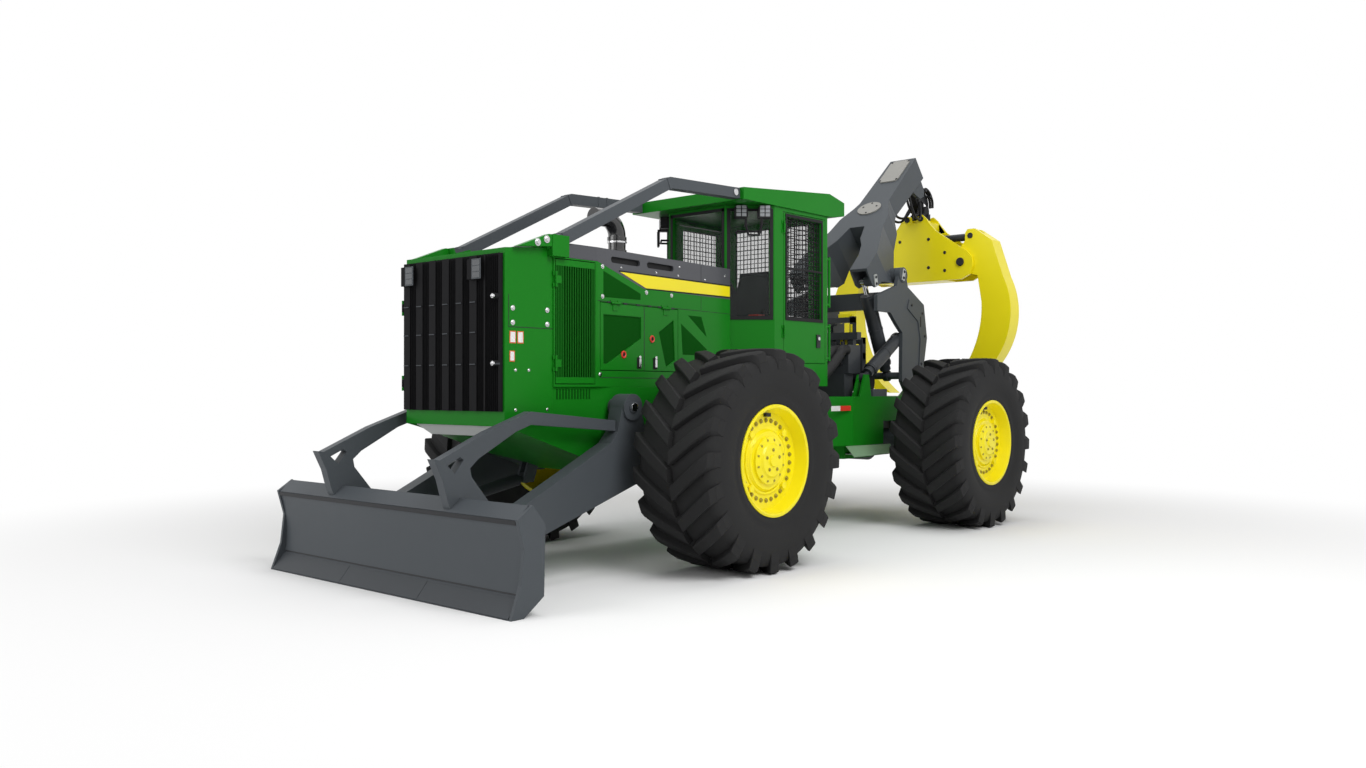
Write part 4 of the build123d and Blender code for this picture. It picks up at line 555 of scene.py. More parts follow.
def make_louvres(side, word):
    """Ribs over the louvre and on to the door's edges, the gaps beside them, and the small louvre below."""
    ribs, gaps, low_louvre = kits(3)
    x0, x1 = side * HOOD_HALF, side * (HOOD_HALF + 0.0006)
    for steps, half, kit in ((range(-9, 8), 0.0055, ribs), ((-8.5, -7.5, -6.5, 6.5), 0.0065, gaps)):
        for step in steps:
            y = LOUVRE_MIDDLE + step * LOUVRE_PITCH
            kit.box((x0, y - half, PANEL_FOOT), (x1, y + half, LOUVRE_TOP))
    for i in range(12):
        y = fy(-1.320) + i * 0.031
        low_louvre.box((side * 0.600, y, 1.375), (side * (0.600 + LINE_THICK), y + 0.016, 1.455))
    ribs.make(f"louvre_ribs_{word}", "louvre_green", f"louvre_door_{word}")
    gaps.make(f"louvre_gaps_{word}", "mesh_green", f"louvre_door_{word}")
    repaint(f"louvre_door_{word}", "mesh_green", lambda p: 0.604 < abs(p.x) < 0.6185)
    low_louvre.make(f"lower_louvre_{word}", "mesh_green", FRONT)


stripe, stripe_edge, hood_lines, hood_bolts, vent_backs, tabs = kits(6)
for side, word in SIDES:
    dress_side_panels(side)
    make_screens(side, word)
    make_engine_door(side, word)
    make_louvres(side, word)
stripe.make("hood_stripe", "stripe_yellow", FRONT)
stripe_edge.make("hood_stripe_edges", "black_parts", FRONT)
hood_lines.make("hood_joint_lines", "dark_steel", FRONT)
vent_backs.make("hood_vent_backs", "black_parts", FRONT)
tabs.make("door_hinge_tabs", "dark_steel", FRONT)
hood_bolts.make("hood_bolts", "chrome_rod", FRONT)
seams.make("panel_seams", "dark_steel", FRONT)

# ---- risers and exhaust
RISER_X, COLLAR_HALF = 0.611, 0.0515
RISER_FOOT, RISER_BEND, RISER_TOP = (fy(-1.334), 2.575), (fy(-0.070), 3.200), (fy(0.866), 3.236)
WEDGE = [(-1.756, 2.499), (-1.45, 2.618), (-1.405, 2.618), (-1.405, 2.528)]


def collar(kit, x, low, high, share, thick):
    """A square collar round a riser tube, at a share of the way from low to high."""
    low, high = Vector((x, *low)), Vector((x, *high))
    run = (high - low).normalized()
    lean = Vector((0, -run.z, run.y))
    square = rectangle(low.lerp(high, share), Vector((1, 0, 0)), lean, COLLAR_HALF, COLLAR_HALF)
    kit.prism(square, run * thick)


riser_bolts, wedge, collars, clamps = kits(4)
for side in (1, -1):
    for y, z in ((-1.564, 2.545), (-1.475, 2.575)):
        riser_bolts.bolt((side * 0.666, fy(y), z), (side, 0, 0), 0.020, 0.016)
    riser_bolts.disc((side * 0.657, fy(0.80), 3.236), (side * 0.669, fy(0.80), 3.236), 0.030)
    wedge.prism([(side * 0.612, fy(y), z) for y, z in WEDGE], (side * 0.054, 0, 0))
    for share in (0.03, 0.972):
        collar(collars, side * RISER_X, RISER_FOOT, RISER_BEND, share, 0.014)
# two more on the right-hand tube
for share in (0.35, 0.47):
    collar(collars, -RISER_X, RISER_BEND, RISER_TOP, share, 0.020)
wedge.make("riser_brackets", "green_paint", FRONT)
collars.make("riser_collars", "grey_paint", FRONT)
riser_bolts.make("riser_bolts", "chrome_rod", FRONT)
repaint("limb_risers", "green_paint", lambda p: p.y < fy(-1.24) and p.z < 2.6)
for z in (2.626, 2.741):
    clamps.disc((0, fy(-0.060), z), (0, fy(-0.060), z + 0.016), 0.0885, sides=48)
clamps.make("exhaust_clamps", "chrome_rod", FRONT)

# ---- cab
CAB, CAB_Y0, CAB_Y1 = 0.680, fy(1.030), fy(2.250)
CORNER_A, CORNER_B = Vector((0.355, CAB_Y0, 0)), Vector((CAB, fy(1.360), 0))
CORNER_WIDE = (CORNER_B - CORNER_A).length
CORNER_RUN = (CORNER_B - CORNER_A).normalized()
CORNER_OUT = Vector((CORNER_RUN.y, -CORNER_RUN.x, 0))
PANE_Y0, PANE_Y1, PANE_Z0, PANE_Z1 = fy(1.555), fy(2.140), 2.140, 3.100  # the door's window
RIM_Y, RIM_Z, WIRE_R, WIRE_CLEAR = 0.022, 0.030, 0.0036, 0.002
DOOR_WIRES = [(6, 0.0959), (10, 0.09504)]  # how many upright and level wires, and their pitch
REAR_WIRES, REAR_PITCH_X, REAR_PITCH_Z = 10, 0.09504, 0.09754
repaint("cab_fittings", "green_paint", lambda p: p.y > CAB_Y1 - 0.01)


def on_corner(side, t, z, lift=0.0):
    """A point on the slanting front corner wall, t metres from its front edge."""
    return mirrored(side, CORNER_A + Vector((0, 0, z)) + CORNER_RUN * t + CORNER_OUT * lift)


surround = Kit()
for side in (1, -1):
    # a dark frame round the corner window, one quad to each edge
    inner = upright(0.045, CORNER_WIDE - 0.045, 2.140, 3.125)
    outer = upright(0.012, CORNER_WIDE - 0.012, 2.105, 3.150)
    for quad in zip(outer, outer[1:] + outer[:1], inner[1:] + inner[:1], inner):
        base = [on_corner(side, t, z, 0.0005) for t, z in quad]
        surround.prism(base, mirrored(side, CORNER_OUT) * 0.006)
for x0, x1, z0, z1 in ((-0.34, -0.31, 2.58, 3.15), (0.31, 0.34, 2.58, 3.15), (-0.34, 0.34, 3.125, 3.155)):
    surround.box((x0, CAB_Y0 - 0.005, z0), (x1, CAB_Y0 - 0.0005, z1))
surround.make("cab_window_surrounds", "black_parts", FRONT)


def make_cab_door(side, word):
    """The door's window frame with its middle bar, wire mesh, glass and latch."""
    rims, mesh, pane, plate, button = kits(5)
    near, far = side * CAB, side * (CAB + 0.007)
    low, high = PANE_Z0 - RIM_Z, PANE_Z1 + RIM_Z
    rims.box((near, PANE_Y0 - RIM_Y, low), (far, PANE_Y0, high))
    rims.box((near, PANE_Y1, low), (far, PANE_Y1 + RIM_Y, high))
    for z0, z1 in ((low, PANE_Z0), (PANE_Z1, high), (2.600, 2.618)):
        rims.box((near, PANE_Y0, z0), (far, PANE_Y1, z1))
    x = side * (CAB - 0.0175)
    (uprights, pitch_y), (levels, pitch_z) = DOOR_WIRES
    for i in range(uprights):
        y = PANE_Y0 + 0.0048 + pitch_y * (i + 0.5)
        mesh.pipe([(x, y, PANE_Z0 + WIRE_CLEAR), (x, y, PANE_Z1 - WIRE_CLEAR)], WIRE_R, 6)
    for i in range(levels):
        z = PANE_Z0 + 0.0048 + pitch_z * (i + 0.5)
        mesh.pipe([(x, PANE_Y0 + WIRE_CLEAR, z), (x, PANE_Y1 - WIRE_CLEAR, z)], WIRE_R, 6)
    pane.box((side * (CAB - 0.040), PANE_Y0 + 0.001, PANE_Z0 + 0.001),
             (side * (CAB - 0.034), PANE_Y1 - 0.001, PANE_Z1 - 0.001))
    plate.box((near, fy(2.050), 1.86), (side * (CAB + 0.012), fy(2.110), 1.99))
    button.disc((side * (CAB + 0.012), fy(2.080), 1.95), (side * (CAB + 0.020), fy(2.080), 1.95), 0.018)
    body = f"cab_door_{word}"
    rims.make(f"door_window_surround_{word}", "black_parts", body)
    mesh.make(f"door_wire_mesh_{word}", "black_parts", body)
    pane.make(f"door_glass_{word}", "cab_glass", body)
    plate.make(f"door_latch_plate_{word}", "dark_steel", body)
    button.make(f"door_latch_button_{word}", "chrome_rod", body)


for side, word in SIDES:
    make_cab_door(side, word)

# finer wire between the rear guard's bars
kit = Kit()
y = CAB_Y1 - 0.006
for i in range(REAR_WIRES):
    x = -0.4752 + REAR_PITCH_X * (i + 0.5)
    kit.pipe([(x, y, 2.142), (x, y, 3.123)], WIRE_R, 6)
    z = 2.1448 + REAR_PITCH_Z * (i + 0.5)
    kit.pipe([(-0.478, y, z), (0.478, y, z)], WIRE_R, 6)
kit.make("rear_wire_mesh", "black_parts", FRONT)

# work lamps' lenses in three rows, and below them the guard hoops with their struts
HOOP_T = 0.253
HOOP = [(-0.075, 3.042), (-0.075, 2.99), (-0.05, 2.889), (0.05, 2.889), (0.075, 2.99), (0.075, 3.042)]
STRUT = [(0.10, 0.004), (0.10, 0.075), (0.33, 0.075), (0.33, 0.004)]
lens, hoops = kits(2)
for side in (1, -1):
    for share in (0.30, 0.78):
        for offset in (-0.026, 0.026):
            t = CORNER_WIDE * share + offset
            for row in range(3):
                z = 3.065 + row * 0.036
                face = [on_corner(side, a, b, 0.0855) for a, b in upright(t - 0.021, t + 0.021, z, z + 0.030)]
                lens.prism(face, mirrored(side, CORNER_OUT) * 0.003)
    hoops.pipe([on_corner(side, HOOP_T + t, z, 0.10) for t, z in HOOP], 0.012)
    hoops.pipe([on_corner(side, t, 2.925, lift) for t, lift in STRUT], 0.010)
lens.make("work_lamp_lenses", "lens", FRONT)
hoops.make("lamp_guard_hoops", "black_parts", FRONT)

# ---- seat
CAB_FLOOR = 1.530
CUSHION_GRID, CUSHION_ROUND = 12, 0.09


def cushion(name, centre, size, tilt):
    """A stuffed block with rounded edges."""
    kit = Kit()
    n = CUSHION_GRID
    steps = [2 * i / n - 1 for i in range(n + 1)]
    for face in range(6):
        axis, sign = face // 2, 1 if face % 2 else -1
        verts = []
        for u in steps:
            for v in steps:
                p = [0, 0, 0]
                p[axis], p[(axis + 1) % 3], p[(axis + 2) % 3] = sign, u, v
                pull = [1 - CUSHION_ROUND * (p[j - 2] ** 4 + p[j - 1] ** 4) for j in range(3)]
                verts.append([c * k * s / 2 for c, k, s in zip(p, pull, size)])
        corners = [i * (n + 1) + k for i in range(n) for k in range(n)]
        kit.add(verts, [(c, c + n + 1, c + n + 2, c + 1) for c in corners])
    kit.move(centre, tilt)
    return kit.make(name, "seat_cloth", FRONT, 60)


cushion("seat_cushion", (0, fy(1.745), CAB_FLOOR + 0.50), (0.50, 0.46, 0.10), 0)
cushion("seat_back_pad", (0, fy(1.945), CAB_FLOOR + 0.80), (0.46, 0.10, 0.58), -0.12)
kit = Kit()
kit.box((0.34, fy(1.40), CAB_FLOOR + 0.56), (0.46, fy(1.50), CAB_FLOOR + 0.64))
kit.make("console_box", "red_plastic", FRONT)

# ---- cylinders
CYLINDER_X = {"blade": 0.425, "arch": 0.500, "boom": 0.370}
BARRELS = {"blade": (0.900, 0.052), "arch": (0.700, 0.058), "boom": (0.850, 0.062)}  # length, radius
JACKETS = {"arch": (0.16, 0.86, 0.072), "boom": (0.14, 0.985, 0.080)}  # start and end on the barrel, radius
RING_WIDE, TUBE_R = 0.020, 0.008


def barrel(owner, side):
    """Where one barrel's eye is, and which way its rod goes."""
    eye = PINS[f"{owner}_cylinder_pivot"]
    return Vector((side * CYLINDER_X[owner], *eye[1:])), Vector(AXES[f"{owner}_cylinder_slide"])


def make_glands(owner, length, radius):
    """A darker collar where each rod leaves its barrel, and two oil ports."""
    kit = Kit()
    for side in (1, -1):
        start, run = barrel(owner, side)
        kit.disc(start + run * (length - 0.055), start + run * (length - 0.006), radius + 0.006, sides=32)
        kit.disc(start + run * (length - 0.006), start + run * (length + 0.004), radius * 0.7, sides=32)
        out = Vector((0, -run.z, run.y)) if owner == "arch" else Vector((side, 0, 0))
        for at in (0.17, length - 0.10):
            port = start + run * at
            kit.disc(port + out * (radius - 0.004), port + out * (radius + 0.018), 0.016, sides=12)
    kit.make(f"glands_{owner}_barrels", "dark_steel", f"{owner}_barrels")


def make_jackets(owner, first, last, radius):
    """A thicker sleeve on each barrel with three rings, and a steel tube along it."""
    kit, tube = kits(2)
    for side in (1, -1):
        start, run = barrel(owner, side)
        over = Vector((0, -run.z, run.y)) * (1 if run.y > 0 else -1) * (radius + 0.006)
        kit.disc(start + run * first, start + run * last, radius, sides=32)
        for at in (first + 0.02, (first + last) / 2, last - 0.04):
            kit.disc(start + run * at, start + run * (at + RING_WIDE), radius + 0.004, sides=32)
        tube.pipe([start + run * at + over for at in (first + 0.02, last - 0.10)], TUBE_R, 8)
    kit.make(f"jackets_{owner}_barrels", "dark_cylinder", f"{owner}_barrels", 40)
    tube.make(f"side_tubes_{owner}_barrels", "dark_steel", f"{owner}_barrels")


for owner, sizes in BARRELS.items():
    make_glands(owner, *sizes)
for owner, sizes in JACKETS.items():
    make_jackets(owner, *sizes)

# ---- blade
ARM_PIN = PINS["blade_lift"][1:]
EDGE_FOOT, EDGE_TOP, EDGE_THICK = Vector((0, fy(-2.508), 0)), Vector((0, fy(-2.398), 0.130)), 0.007
EDGE_SPANS = ((-1.468, -0.492), (-0.488, 0.488), (0.492, 1.468))
BOARD_HALF, SHADOW_THICK = 1.470, 0.003
SHADOW_LINES = [  # under the board's upper lip and over the cutting edge: two (y, z) places each
    ((fy(-2.4480), 0.6225), (fy(-2.4425), 0.592)), ((fy(-2.3975), 0.137), (fy(-2.3945), 0.146))]
caps, edges, line = kits(3)
for side in (1, -1):
    caps.disc((side * 0.830, *ARM_PIN), (side * 0.840, *ARM_PIN), 0.034)
up = (EDGE_TOP - EDGE_FOOT).normalized()
out = Vector((0, -up.z, up.y)) * EDGE_THICK
low, high = EDGE_FOOT + up * 0.008, EDGE_TOP - up * 0.012
# the cutting-edge plates take a darker grey than the blade, painted shade of their slope
for x0, x1 in EDGE_SPANS:
    edges.prism([(x0, *p.yz) for p in (low, low + out, high + out, high)], (x1 - x0, 0, 0))
for (y0, z0), (y1, z1) in SHADOW_LINES:
    outline = ((y0, z0), (y0 - SHADOW_THICK, z0), (y1 - SHADOW_THICK, z1), (y1, z1))
    line.prism([(-BOARD_HALF, y, z) for y, z in outline], (2 * BOARD_HALF, 0, 0))
caps.make("arm_pin_caps", "chrome_rod", FRONT)
edges.make("cutting_edges", "edge_paint", "blade")
line.make("blade_shadow_lines", "dark_steel", "blade")

# ---- arch and boom
BOOM_KEEPERS = [  # over the boom's pins: x, station behind the rear axle, height, lean
    (0.605, 0.068, 2.730, 0.25), (0.5205, -0.385, 2.640, -0.2)]
KEEPER_HALF_W, KEEPER_HALF_H, KEEPER_THICK, KEEPER_BOLT = 0.028, 0.065, 0.012, 0.036
ARCH_SIDE, COVER_THICK = 0.600, 0.010
ARCH_COVER = [  # stepped cover on the arch's outer side: station behind the rear axle, height
    (0.20, 2.46), (0.53, 2.36), (0.59, 2.04), (0.50, 1.66), (0.42, 1.70), (0.45, 2.02),
    (0.40, 2.22), (0.16, 2.36)]
ARCH_BOLTS = ((0.25, 2.40), (0.49, 2.32), (0.55, 2.06), (0.47, 1.74))
BOOM_TIP, BOOM_SLOPE = Vector((0, ry(1.118), 4.270)), 0.901
COVER_BOLTS = [  # on the boom's top covers: x, distance along the slope from the tip
    (0.11, -0.07), (-0.11, -0.07), (0.11, -0.46), (-0.11, -0.46), (0.09, -1.02), (-0.09, -1.02),
    (0, -1.14), (0, -0.95)]

keepers, keeper_bolts, covers, slot_shades, arch_bolts, cover_bolts = kits(6)
for side in (1, -1):
    out = Vector((side, 0, 0))
    for x, y, z, lean in BOOM_KEEPERS:
        up = Vector((0, math.sin(lean), math.cos(lean)))
        across = Vector((0, up.z, -up.y))
        centre = Vector((side * x, ry(y), z))
        keepers.prism(rectangle(centre, across, up, KEEPER_HALF_W, KEEPER_HALF_H), out * KEEPER_THICK)
        for b in (-KEEPER_BOLT, KEEPER_BOLT):
            keeper_bolts.bolt(centre + up * b + out * KEEPER_THICK, out, 0.012, 0.010)
    face = side * (ARCH_SIDE + COVER_THICK)
    covers.prism([(side * ARCH_SIDE, ry(y), z) for y, z in ARCH_COVER], out * COVER_THICK)
    # a black strip on each cover is painted shade standing for the inside of a slot
    slot_shades.box((face, ry(0.440), 2.16), (face + side * 0.0015, ry(0.462), 2.28))
    for y, z in ARCH_BOLTS:
        arch_bolts.bolt((face, ry(y), z), out, 0.012, 0.010)
uphill = Vector((0, 1, BOOM_SLOPE)).normalized()
over = Vector((0, -BOOM_SLOPE, 1)).normalized()
for x, s in COVER_BOLTS:
    cover_bolts.bolt(BOOM_TIP + Vector((x, 0, 0)) + uphill * s + over * 0.0143, over, 0.009, 0.006)
keepers.make("boom_pin_keepers", "pale_grey", "boom")
keeper_bolts.make("boom_keeper_bolts", "dark_steel", "boom")
covers.make("arch_cover_plates", "grey_paint", "arch")
slot_shades.make("arch_slots", "black_parts", "arch")
arch_bolts.make("arch_bolts", "dark_steel", "arch")
cover_bolts.make("boom_cover_bolts", "dark_steel", "boom")

# ---- grapple and hanging link
TONG_X, HEAD_Y, TONG_Z = PINS["tong_open"]
HEAD_FACE = HEAD_Y - 0.160
EAR_PIN = (0.095, 3.565)
EAR = [(0.02, 3.50), (0.05, 3.60), (0.11, 3.615), (0.17, 3.56), (0.27, 3.41), (0.16, 3.38)]
EAR_FROM, EAR_THICK = 0.130, 0.029
PORTS, PORT_CIRCLE, PORT_TURN = 6, 0.105, 0.3
LINK_BRACKET = [
    (1.40, 3.79), (1.42, 3.90), (1.50, 3.93), (1.62, 3.87), (1.655, 3.79), (1.60, 3.765), (1.50, 3.80)]
LINK_LINE = [(1.430, 3.930), (1.500, 3.948), (1.590, 3.905), (1.655, 3.815), (1.660, 3.730)]

head_bolts, ears, ear_pins, ports, brackets, lines = kits(6)
for side in (1, -1):
    x = side * TONG_X
    head_bolts.disc((x, HEAD_FACE - 0.012, TONG_Z), (x, HEAD_FACE - 0.026, TONG_Z), 0.052, 0.046, 32)
    for x, z in ((0.20, 3.30), (0.20, 2.95), (0.42, 3.12), (0.42, 2.90)):
        head_bolts.bolt((side * x, HEAD_FACE, z), (0, -1, 0), 0.014, 0.010)
    for face in (-1, 1):
        ears.prism([(side * x, HEAD_Y + face * EAR_FROM, z) for x, z in EAR], (0, face * EAR_THICK, 0))
    x, z = EAR_PIN
    ear_pins.disc((side * x, HEAD_FACE - 0.012, z), (side * x, HEAD_FACE, z), 0.034)
    # steel lines and their bracket over the hanging link
    brackets.prism([(side * 0.0451, ry(y), z) for y, z in LINK_BRACKET], (side * 0.010, 0, 0))
    for x in (0.032, 0.072, 0.108):
        lines.pipe(smooth_path([(side * x, ry(y), z) for y, z in LINK_LINE], 5), 0.016, 10)
for y, z in ((ry(1.470), 3.920), (ry(1.600), 3.862)):
    brackets.box((-0.125, y - 0.022, z - 0.006), (0.125, y + 0.022, z + 0.018))
for i in range(PORTS):
    turn = 2 * math.pi * i / PORTS + PORT_TURN
    x, y = PORT_CIRCLE * math.cos(turn), HEAD_Y + PORT_CIRCLE * math.sin(turn)
    ports.disc((x, y, 3.565), (x, y, 3.640), 0.020, sides=12)
head_bolts.make("grapple_head_bolts", "dark_steel", "grapple")
ears.make("grapple_ears", "yellow_paint", "grapple")
ear_pins.make("grapple_ear_pins", "dark_steel", "grapple")
ports.make("rotator_ports", "dark_steel", "rotator")
brackets.make("link_line_brackets", "dark_steel", "link")
lines.make("link_steel_lines", "black_parts", "link", 50)

x, y, z = PINS["tong_cylinder_pivot"]
for side, word in SIDES:
    kit = Kit()
    for face in (-1, 1):
        kit.disc((side * x, y + face * 0.115, z), (side * x, y + face * 0.125, z), 0.036, 0.032)
    kit.make(f"tong_pin_caps_{word}", "dark_steel", f"tong_{word}")

# ---- rear deck
DECK = 1.3703  # just over the deck's upper face
PLATE_X, PLATE_HEIGHTS = 0.5514, (1.222, 1.275)
SKIRT = [(0.549, -1.020, 0.852), (0.549, -0.120, 0.842), (0.690, -0.280, 0.757), (0.700, -1.100, 0.750)]


def rear_box(kit, x, half, stations, heights):
    """A box on the rear frame: its middle and half width, stations behind the rear axle, bottom and top."""
    (y0, y1), (z0, z1) = stations, heights
    kit.box((x - half, ry(y0), z0), (x + half, ry(y1), z1))


edge_boxes, steps, skirts, white, red = kits(5)
for side in (1, -1):
    rear_box(edge_boxes, side * 0.4915, 0.0565, (-0.480, -0.190), (DECK, 1.450))
    rear_box(steps, side * 0.4805, 0.0795, (-0.800, -0.320), (0.748, 0.756))
    rear_box(white, side * PLATE_X, 0.0011, (-1.300, -1.130), PLATE_HEIGHTS)
    rear_box(red, side * PLATE_X, 0.0011, (-1.130, -0.930), PLATE_HEIGHTS)
    # guard plates that slope outwards from the frame's lower edges
    skirts.prism([(side * x, ry(y), z) for x, y, z in SKIRT], (0, 0, -0.008))
edge_boxes.make("deck_edge_boxes", "grey_paint", REAR)
steps.make("belly_step_plates", "pale_grey", REAR)
skirts.make("frame_skirt_plates", "pale_green", REAR)
white.make("frame_plates_white", "white_plate", REAR)
red.make("frame_plates_red", "red_plastic", REAR)

# valve block on its stand, ahead of the arch
block, fittings, tags = kits(3)
rear_box(block, 0.04, 0.32, (-0.760, -0.590), (DECK, 1.62))
rear_box(block, 0.05, 0.35, (-0.740, -0.500), (1.62, 1.93))
for x in (-0.22, 0.08, 0.34):
    rear_box(block, x, 0.03, (-0.600, -0.540), (1.93, 2.04))
rear_box(block, 0.05, 0.38, (-0.610, -0.530), (1.99, 2.07))
for i in range(6):
    x = -0.20 + 0.10 * i
    fittings.disc((x, ry(-0.762), 1.72), (x, ry(-0.740), 1.72), 0.022, sides=12)
    fittings.disc((x, ry(-0.700), 1.93), (x, ry(-0.700), 1.965), 0.020, sides=12)
for x in (-0.129, 0.031, 0.191, 0.251):
    rear_box(tags, x, 0.011, (-0.560, -0.545), (1.931, 1.989))
block.make("valve_block", "dark_cylinder", REAR)
fittings.make("valve_fittings", "dark_steel", REAR)
tags.make("valve_tags", "yellow_paint", REAR)

# winch behind the valve block: its drum, the fairlead frame over it, and yellow tags on the frame
LEAD, PANEL, DRUM = (-0.395, -0.335), (-0.385, -0.345), (ry(-0.235), 1.530)
fairlead, drum, tags = kits(3)
for x in (-0.340, -0.120, 0.120, 0.340):
    rear_box(fairlead, x, 0.025, (-0.400, -0.330), (1.56, 2.02))
for z in (1.56, 1.78, 1.95):
    rear_box(fairlead, 0, 0.365, LEAD, (z, z + 0.07))
for x in (-0.220, 0.220):
    rear_box(fairlead, x, 0.025, LEAD, (2.02, 2.26))
    rear_box(fairlead, x, 0.020, (-0.530, -0.390), (2.00, 2.06))
    rear_box(fairlead, x, 0.020, (-0.520, -0.390), (1.62, 1.68))
    rear_box(tags, x, 0.012, (-0.4005, -0.395), (2.06, 2.17))
rear_box(fairlead, 0, 0.245, LEAD, (2.19, 2.25))
rear_box(fairlead, 0, 0.220, PANEL, (1.60, 2.00))
rear_box(tags, 0.12, 0.080, PANEL, (2.25, 2.29))
for x0, x1, radius in ((-0.33, -0.30, 0.150), (-0.30, 0.30, 0.105), (0.30, 0.33, 0.150)):
    drum.disc((x0, *DRUM), (x1, *DRUM), radius, sides=32)
fairlead.make("fairlead_frame", "dark_cylinder", REAR)
drum.make("winch_drum", "dark_steel", REAR, 40)
tags.make("fairlead_tags", "yellow_paint", REAR)

# ---- hoses
JOINT_HOSES = [  # points under the cab and over the middle joint
    [(0.10, fy(1.72), 1.34), (0.11, fy(1.80), 1.35), (0.13, PIVOT, 1.43), (0.13, PIVOT + 0.20, 1.47),
     (0.12, PIVOT + 0.42, 1.42), (0.12, PIVOT + 0.46, 1.36)],
    [(0.02, fy(1.72), 1.34), (0.02, fy(1.80), 1.36), (0.03, PIVOT, 1.45), (0.03, PIVOT + 0.20, 1.49),
     (0.02, PIVOT + 0.42, 1.43), (0.02, PIVOT + 0.46, 1.36)],
    [(-0.08, fy(1.72), 1.34), (-0.08, fy(1.80), 1.35), (-0.07, PIVOT, 1.43), (-0.07, PIVOT + 0.20, 1.47),
     (-0.08, PIVOT + 0.42, 1.42), (-0.08, PIVOT + 0.46, 1.36)]]
JOINT_SPAN = ((0, PIVOT - 0.12, 1.40), (0, PIVOT + 0.30, 1.40))
LINK_SPAN = ((0, ry(1.08), 3.72), (0, ry(1.38), 3.72))


def link_hose(x, drop):
    """A short loop from under the boom's tip to the hanging link."""
    return [(x * 0.9, ry(1.13), 3.90), (x * 1.5, ry(1.06), 3.76), (x * 1.8, ry(1.13), 3.62 - drop),
            (x * 1.5, ry(1.30), 3.60 - drop), (x, ry(1.40), 3.68), (math.copysign(0.046, x), ry(1.435), 3.78)]


def sleeve(x, rise):
    """A thick hose sleeve from the foot of the cab's rear wall up to the valve block."""
    return [(x * 0.8, fy(2.2525), 1.50 + rise), (x * 0.85, fy(2.34), 1.49 + rise),
            (x, PIVOT + 0.70, 1.60 + rise), (x, ry(-0.92), 1.80 + rise), (x, ry(-0.83), 1.865),
            (x, ry(-0.741), 1.87)]


LOOPS = [(0.060, 0.0), (0.085, 0.05), (-0.060, 0.02), (-0.085, 0.06)]
BUNDLE = [(-0.06, 0.0), (0.06, 0.03), (0.18, 0.0), (0.29, 0.03), (0.38, -0.02)]
HOSES = [  # name, radius, the two bodies, a span between them, routes
    ("hose_joint", 0.017, (FRONT, REAR), JOINT_SPAN, JOINT_HOSES),
    ("hose_link", 0.015, ("boom", "link"), LINK_SPAN, [link_hose(x, drop) for x, drop in LOOPS]),
    ("sleeve", 0.054, (FRONT, REAR), JOINT_SPAN, [sleeve(x, rise) for x, rise in BUNDLE])]
for name, radius, bodies, span, routes in HOSES:
    for i, route in enumerate(routes, 1):
        line = smooth_path(route, 6)
        kit = Kit()
        kit.pipe(line, radius, 12)
        hose = kit.make(f"{name}_{i}", "hose_rubber", None, 60)
        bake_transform(hose)

# ---- camera, light and floor
EYE = (6.804, FRONT_AXLE - 6.913, 1.463)
EYE_TURN, EYE_LIFT = math.radians(41.316), math.radians(0.203)
LENS_MM, SENSOR_MM = 28.678, 36.0
LAMPS = [  # name, place, target, size, watts
    ("key", (9, -3, 9), (0, 0, 1.5), 6.0, 730),
    ("front_fill", (-3, -13, 6), (0, -2, 1.5), 7.0, 420),
    ("top", (0, 0, 13), (0, 0, 0), 9.0, 420)]
SKY_ON_OBJECT, SKY_SEEN = 0.40, 1.0
FLOOR_HALF, FADE_FROM, FADE_TO = 60, 3.5, 9.0


def add_to_scene(name, data, place, aim):
    """A camera or lamp at a place, looking along a direction."""
    obj = bpy.data.objects.new(name, data)
    obj.location = place
    obj.rotation_mode = "QUATERNION"
    obj.rotation_quaternion = aim.to_track_quat("-Z", "Y")
    scene.collection.objects.link(obj)
    return obj


def seen_rays(nodes, links):
    """1 for the rays that show the surroundings: straight, mirrored or through glass."""
    path = nodes.new("ShaderNodeLightPath")
    last = path.outputs["Is Camera Ray"]
    for name in ("Is Glossy Ray", "Is Transmission Ray"):
        larger = nodes.new("ShaderNodeMath")
        larger.operation = "MAXIMUM"
        links.new(last, larger.inputs[0])
        links.new(path.outputs[name], larger.inputs[1])
        last = larger.outputs[0]
    return last


def build_world():
    """A white room: dim where it lights the object, full white where it is seen."""
    world = bpy.data.worlds.new("studio")
    scene.world = world
    world.use_nodes = True
    nodes, links = world.node_tree.nodes, world.node_tree.links
    sky = set_inputs(nodes["Background"], Color=(1, 1, 1, 1))
    strength = set_inputs(nodes.new("ShaderNodeMapRange"), To_Min=SKY_ON_OBJECT, To_Max=SKY_SEEN)
    links.new(seen_rays(nodes, links), strength.inputs["Value"])
    links.new(strength.outputs["Result"], sky.inputs["Strength"])


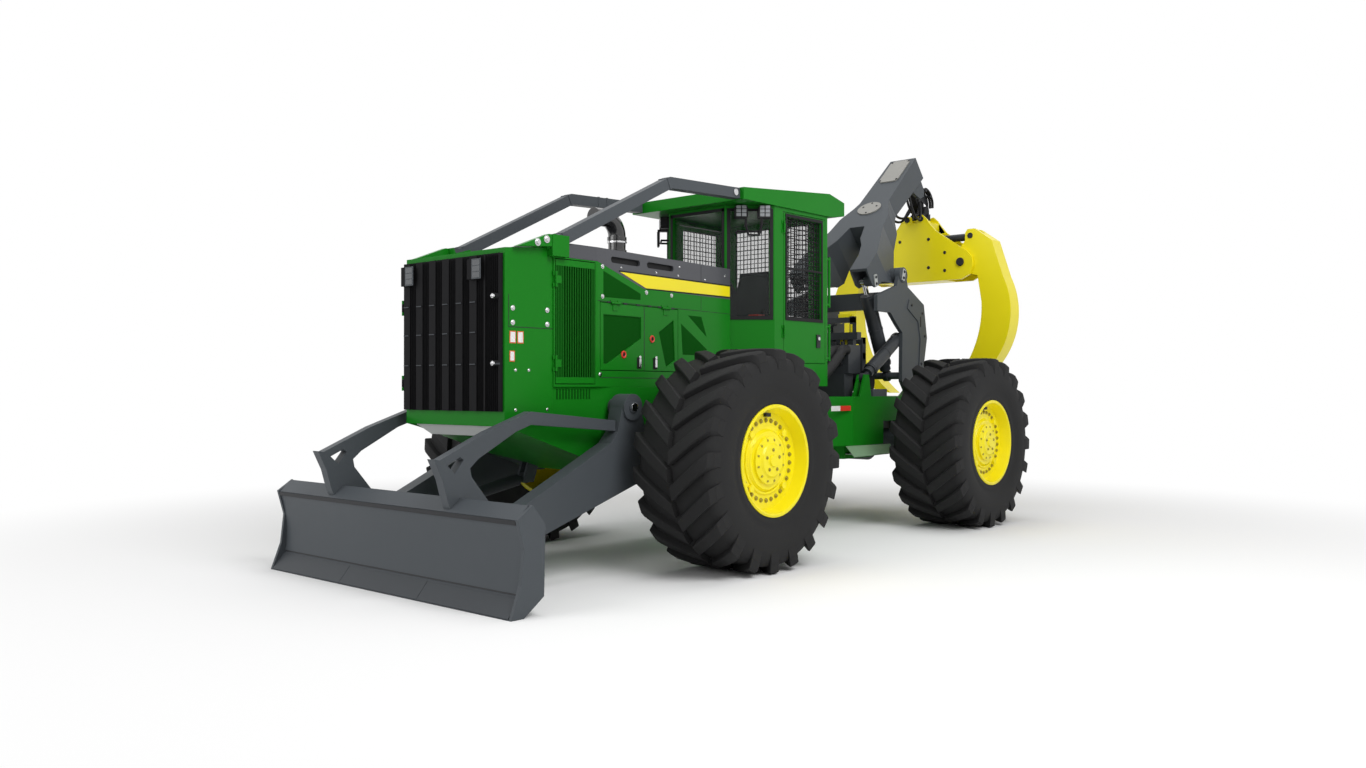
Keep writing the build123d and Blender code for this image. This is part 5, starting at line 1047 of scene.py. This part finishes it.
def floor_material():
    """Pale matt floor that fades into the white of the room away from the machine."""
    mat, nodes, links = new_material("floor_white")
    shade = set_inputs(nodes["Principled BSDF"], Roughness=1.0, Specular_IOR_Level=0.0)
    patches = set_inputs(nodes.new("ShaderNodeTexNoise"), Scale=0.5)
    mottle_colour(nodes, links, shade, patches, (0.93, 0.93, 0.93), (0.96, 0.96, 0.96))
    spot = nodes.new("ShaderNodeNewGeometry")
    reach = nodes.new("ShaderNodeVectorMath")
    reach.operation = "LENGTH"
    fade = set_inputs(nodes.new("ShaderNodeMapRange"), From_Min=FADE_FROM, From_Max=FADE_TO)
    fade.interpolation_type = "SMOOTHSTEP"
    glow = set_inputs(nodes.new("ShaderNodeEmission"), Strength=1.0)
    share = nodes.new("ShaderNodeMath")
    share.operation = "MULTIPLY"
    over = nodes.new("ShaderNodeMixShader")
    links.new(spot.outputs["Position"], reach.inputs[0])
    links.new(reach.outputs["Value"], fade.inputs["Value"])
    links.new(fade.outputs["Result"], share.inputs[0])
    links.new(seen_rays(nodes, links), share.inputs[1])
    links.new(share.outputs[0], over.inputs["Fac"])
    links.new(shade.outputs["BSDF"], over.inputs[1])
    links.new(glow.outputs["Emission"], over.inputs[2])
    links.new(over.outputs["Shader"], nodes["Material Output"].inputs["Surface"])
    return mat


camera_data = bpy.data.cameras.new("camera")
camera_data.lens = LENS_MM
camera_data.sensor_width = SENSOR_MM
level = math.cos(EYE_LIFT)
aim = Vector((-math.sin(EYE_TURN) * level, math.cos(EYE_TURN) * level, math.sin(EYE_LIFT)))
scene.camera = add_to_scene("camera", camera_data, EYE, aim)

build_world()
for name, place, target, size, watts in LAMPS:
    lamp = bpy.data.lights.new(name, "AREA")
    lamp.shape = "SQUARE"
    lamp.size = size
    lamp.energy = watts
    add_to_scene(name, lamp, place, Vector(target) - Vector(place))

MAT["floor_white"] = floor_material()
floor = Kit()
corners = rectangle(Vector(), Vector((1, 0, 0)), Vector((0, 1, 0)), FLOOR_HALF, FLOOR_HALF)
floor.add(corners, [(0, 1, 2, 3)])
floor.make("floor", "floor_white", None)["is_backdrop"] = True

scene.view_settings.view_transform = "Standard"

low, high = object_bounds()
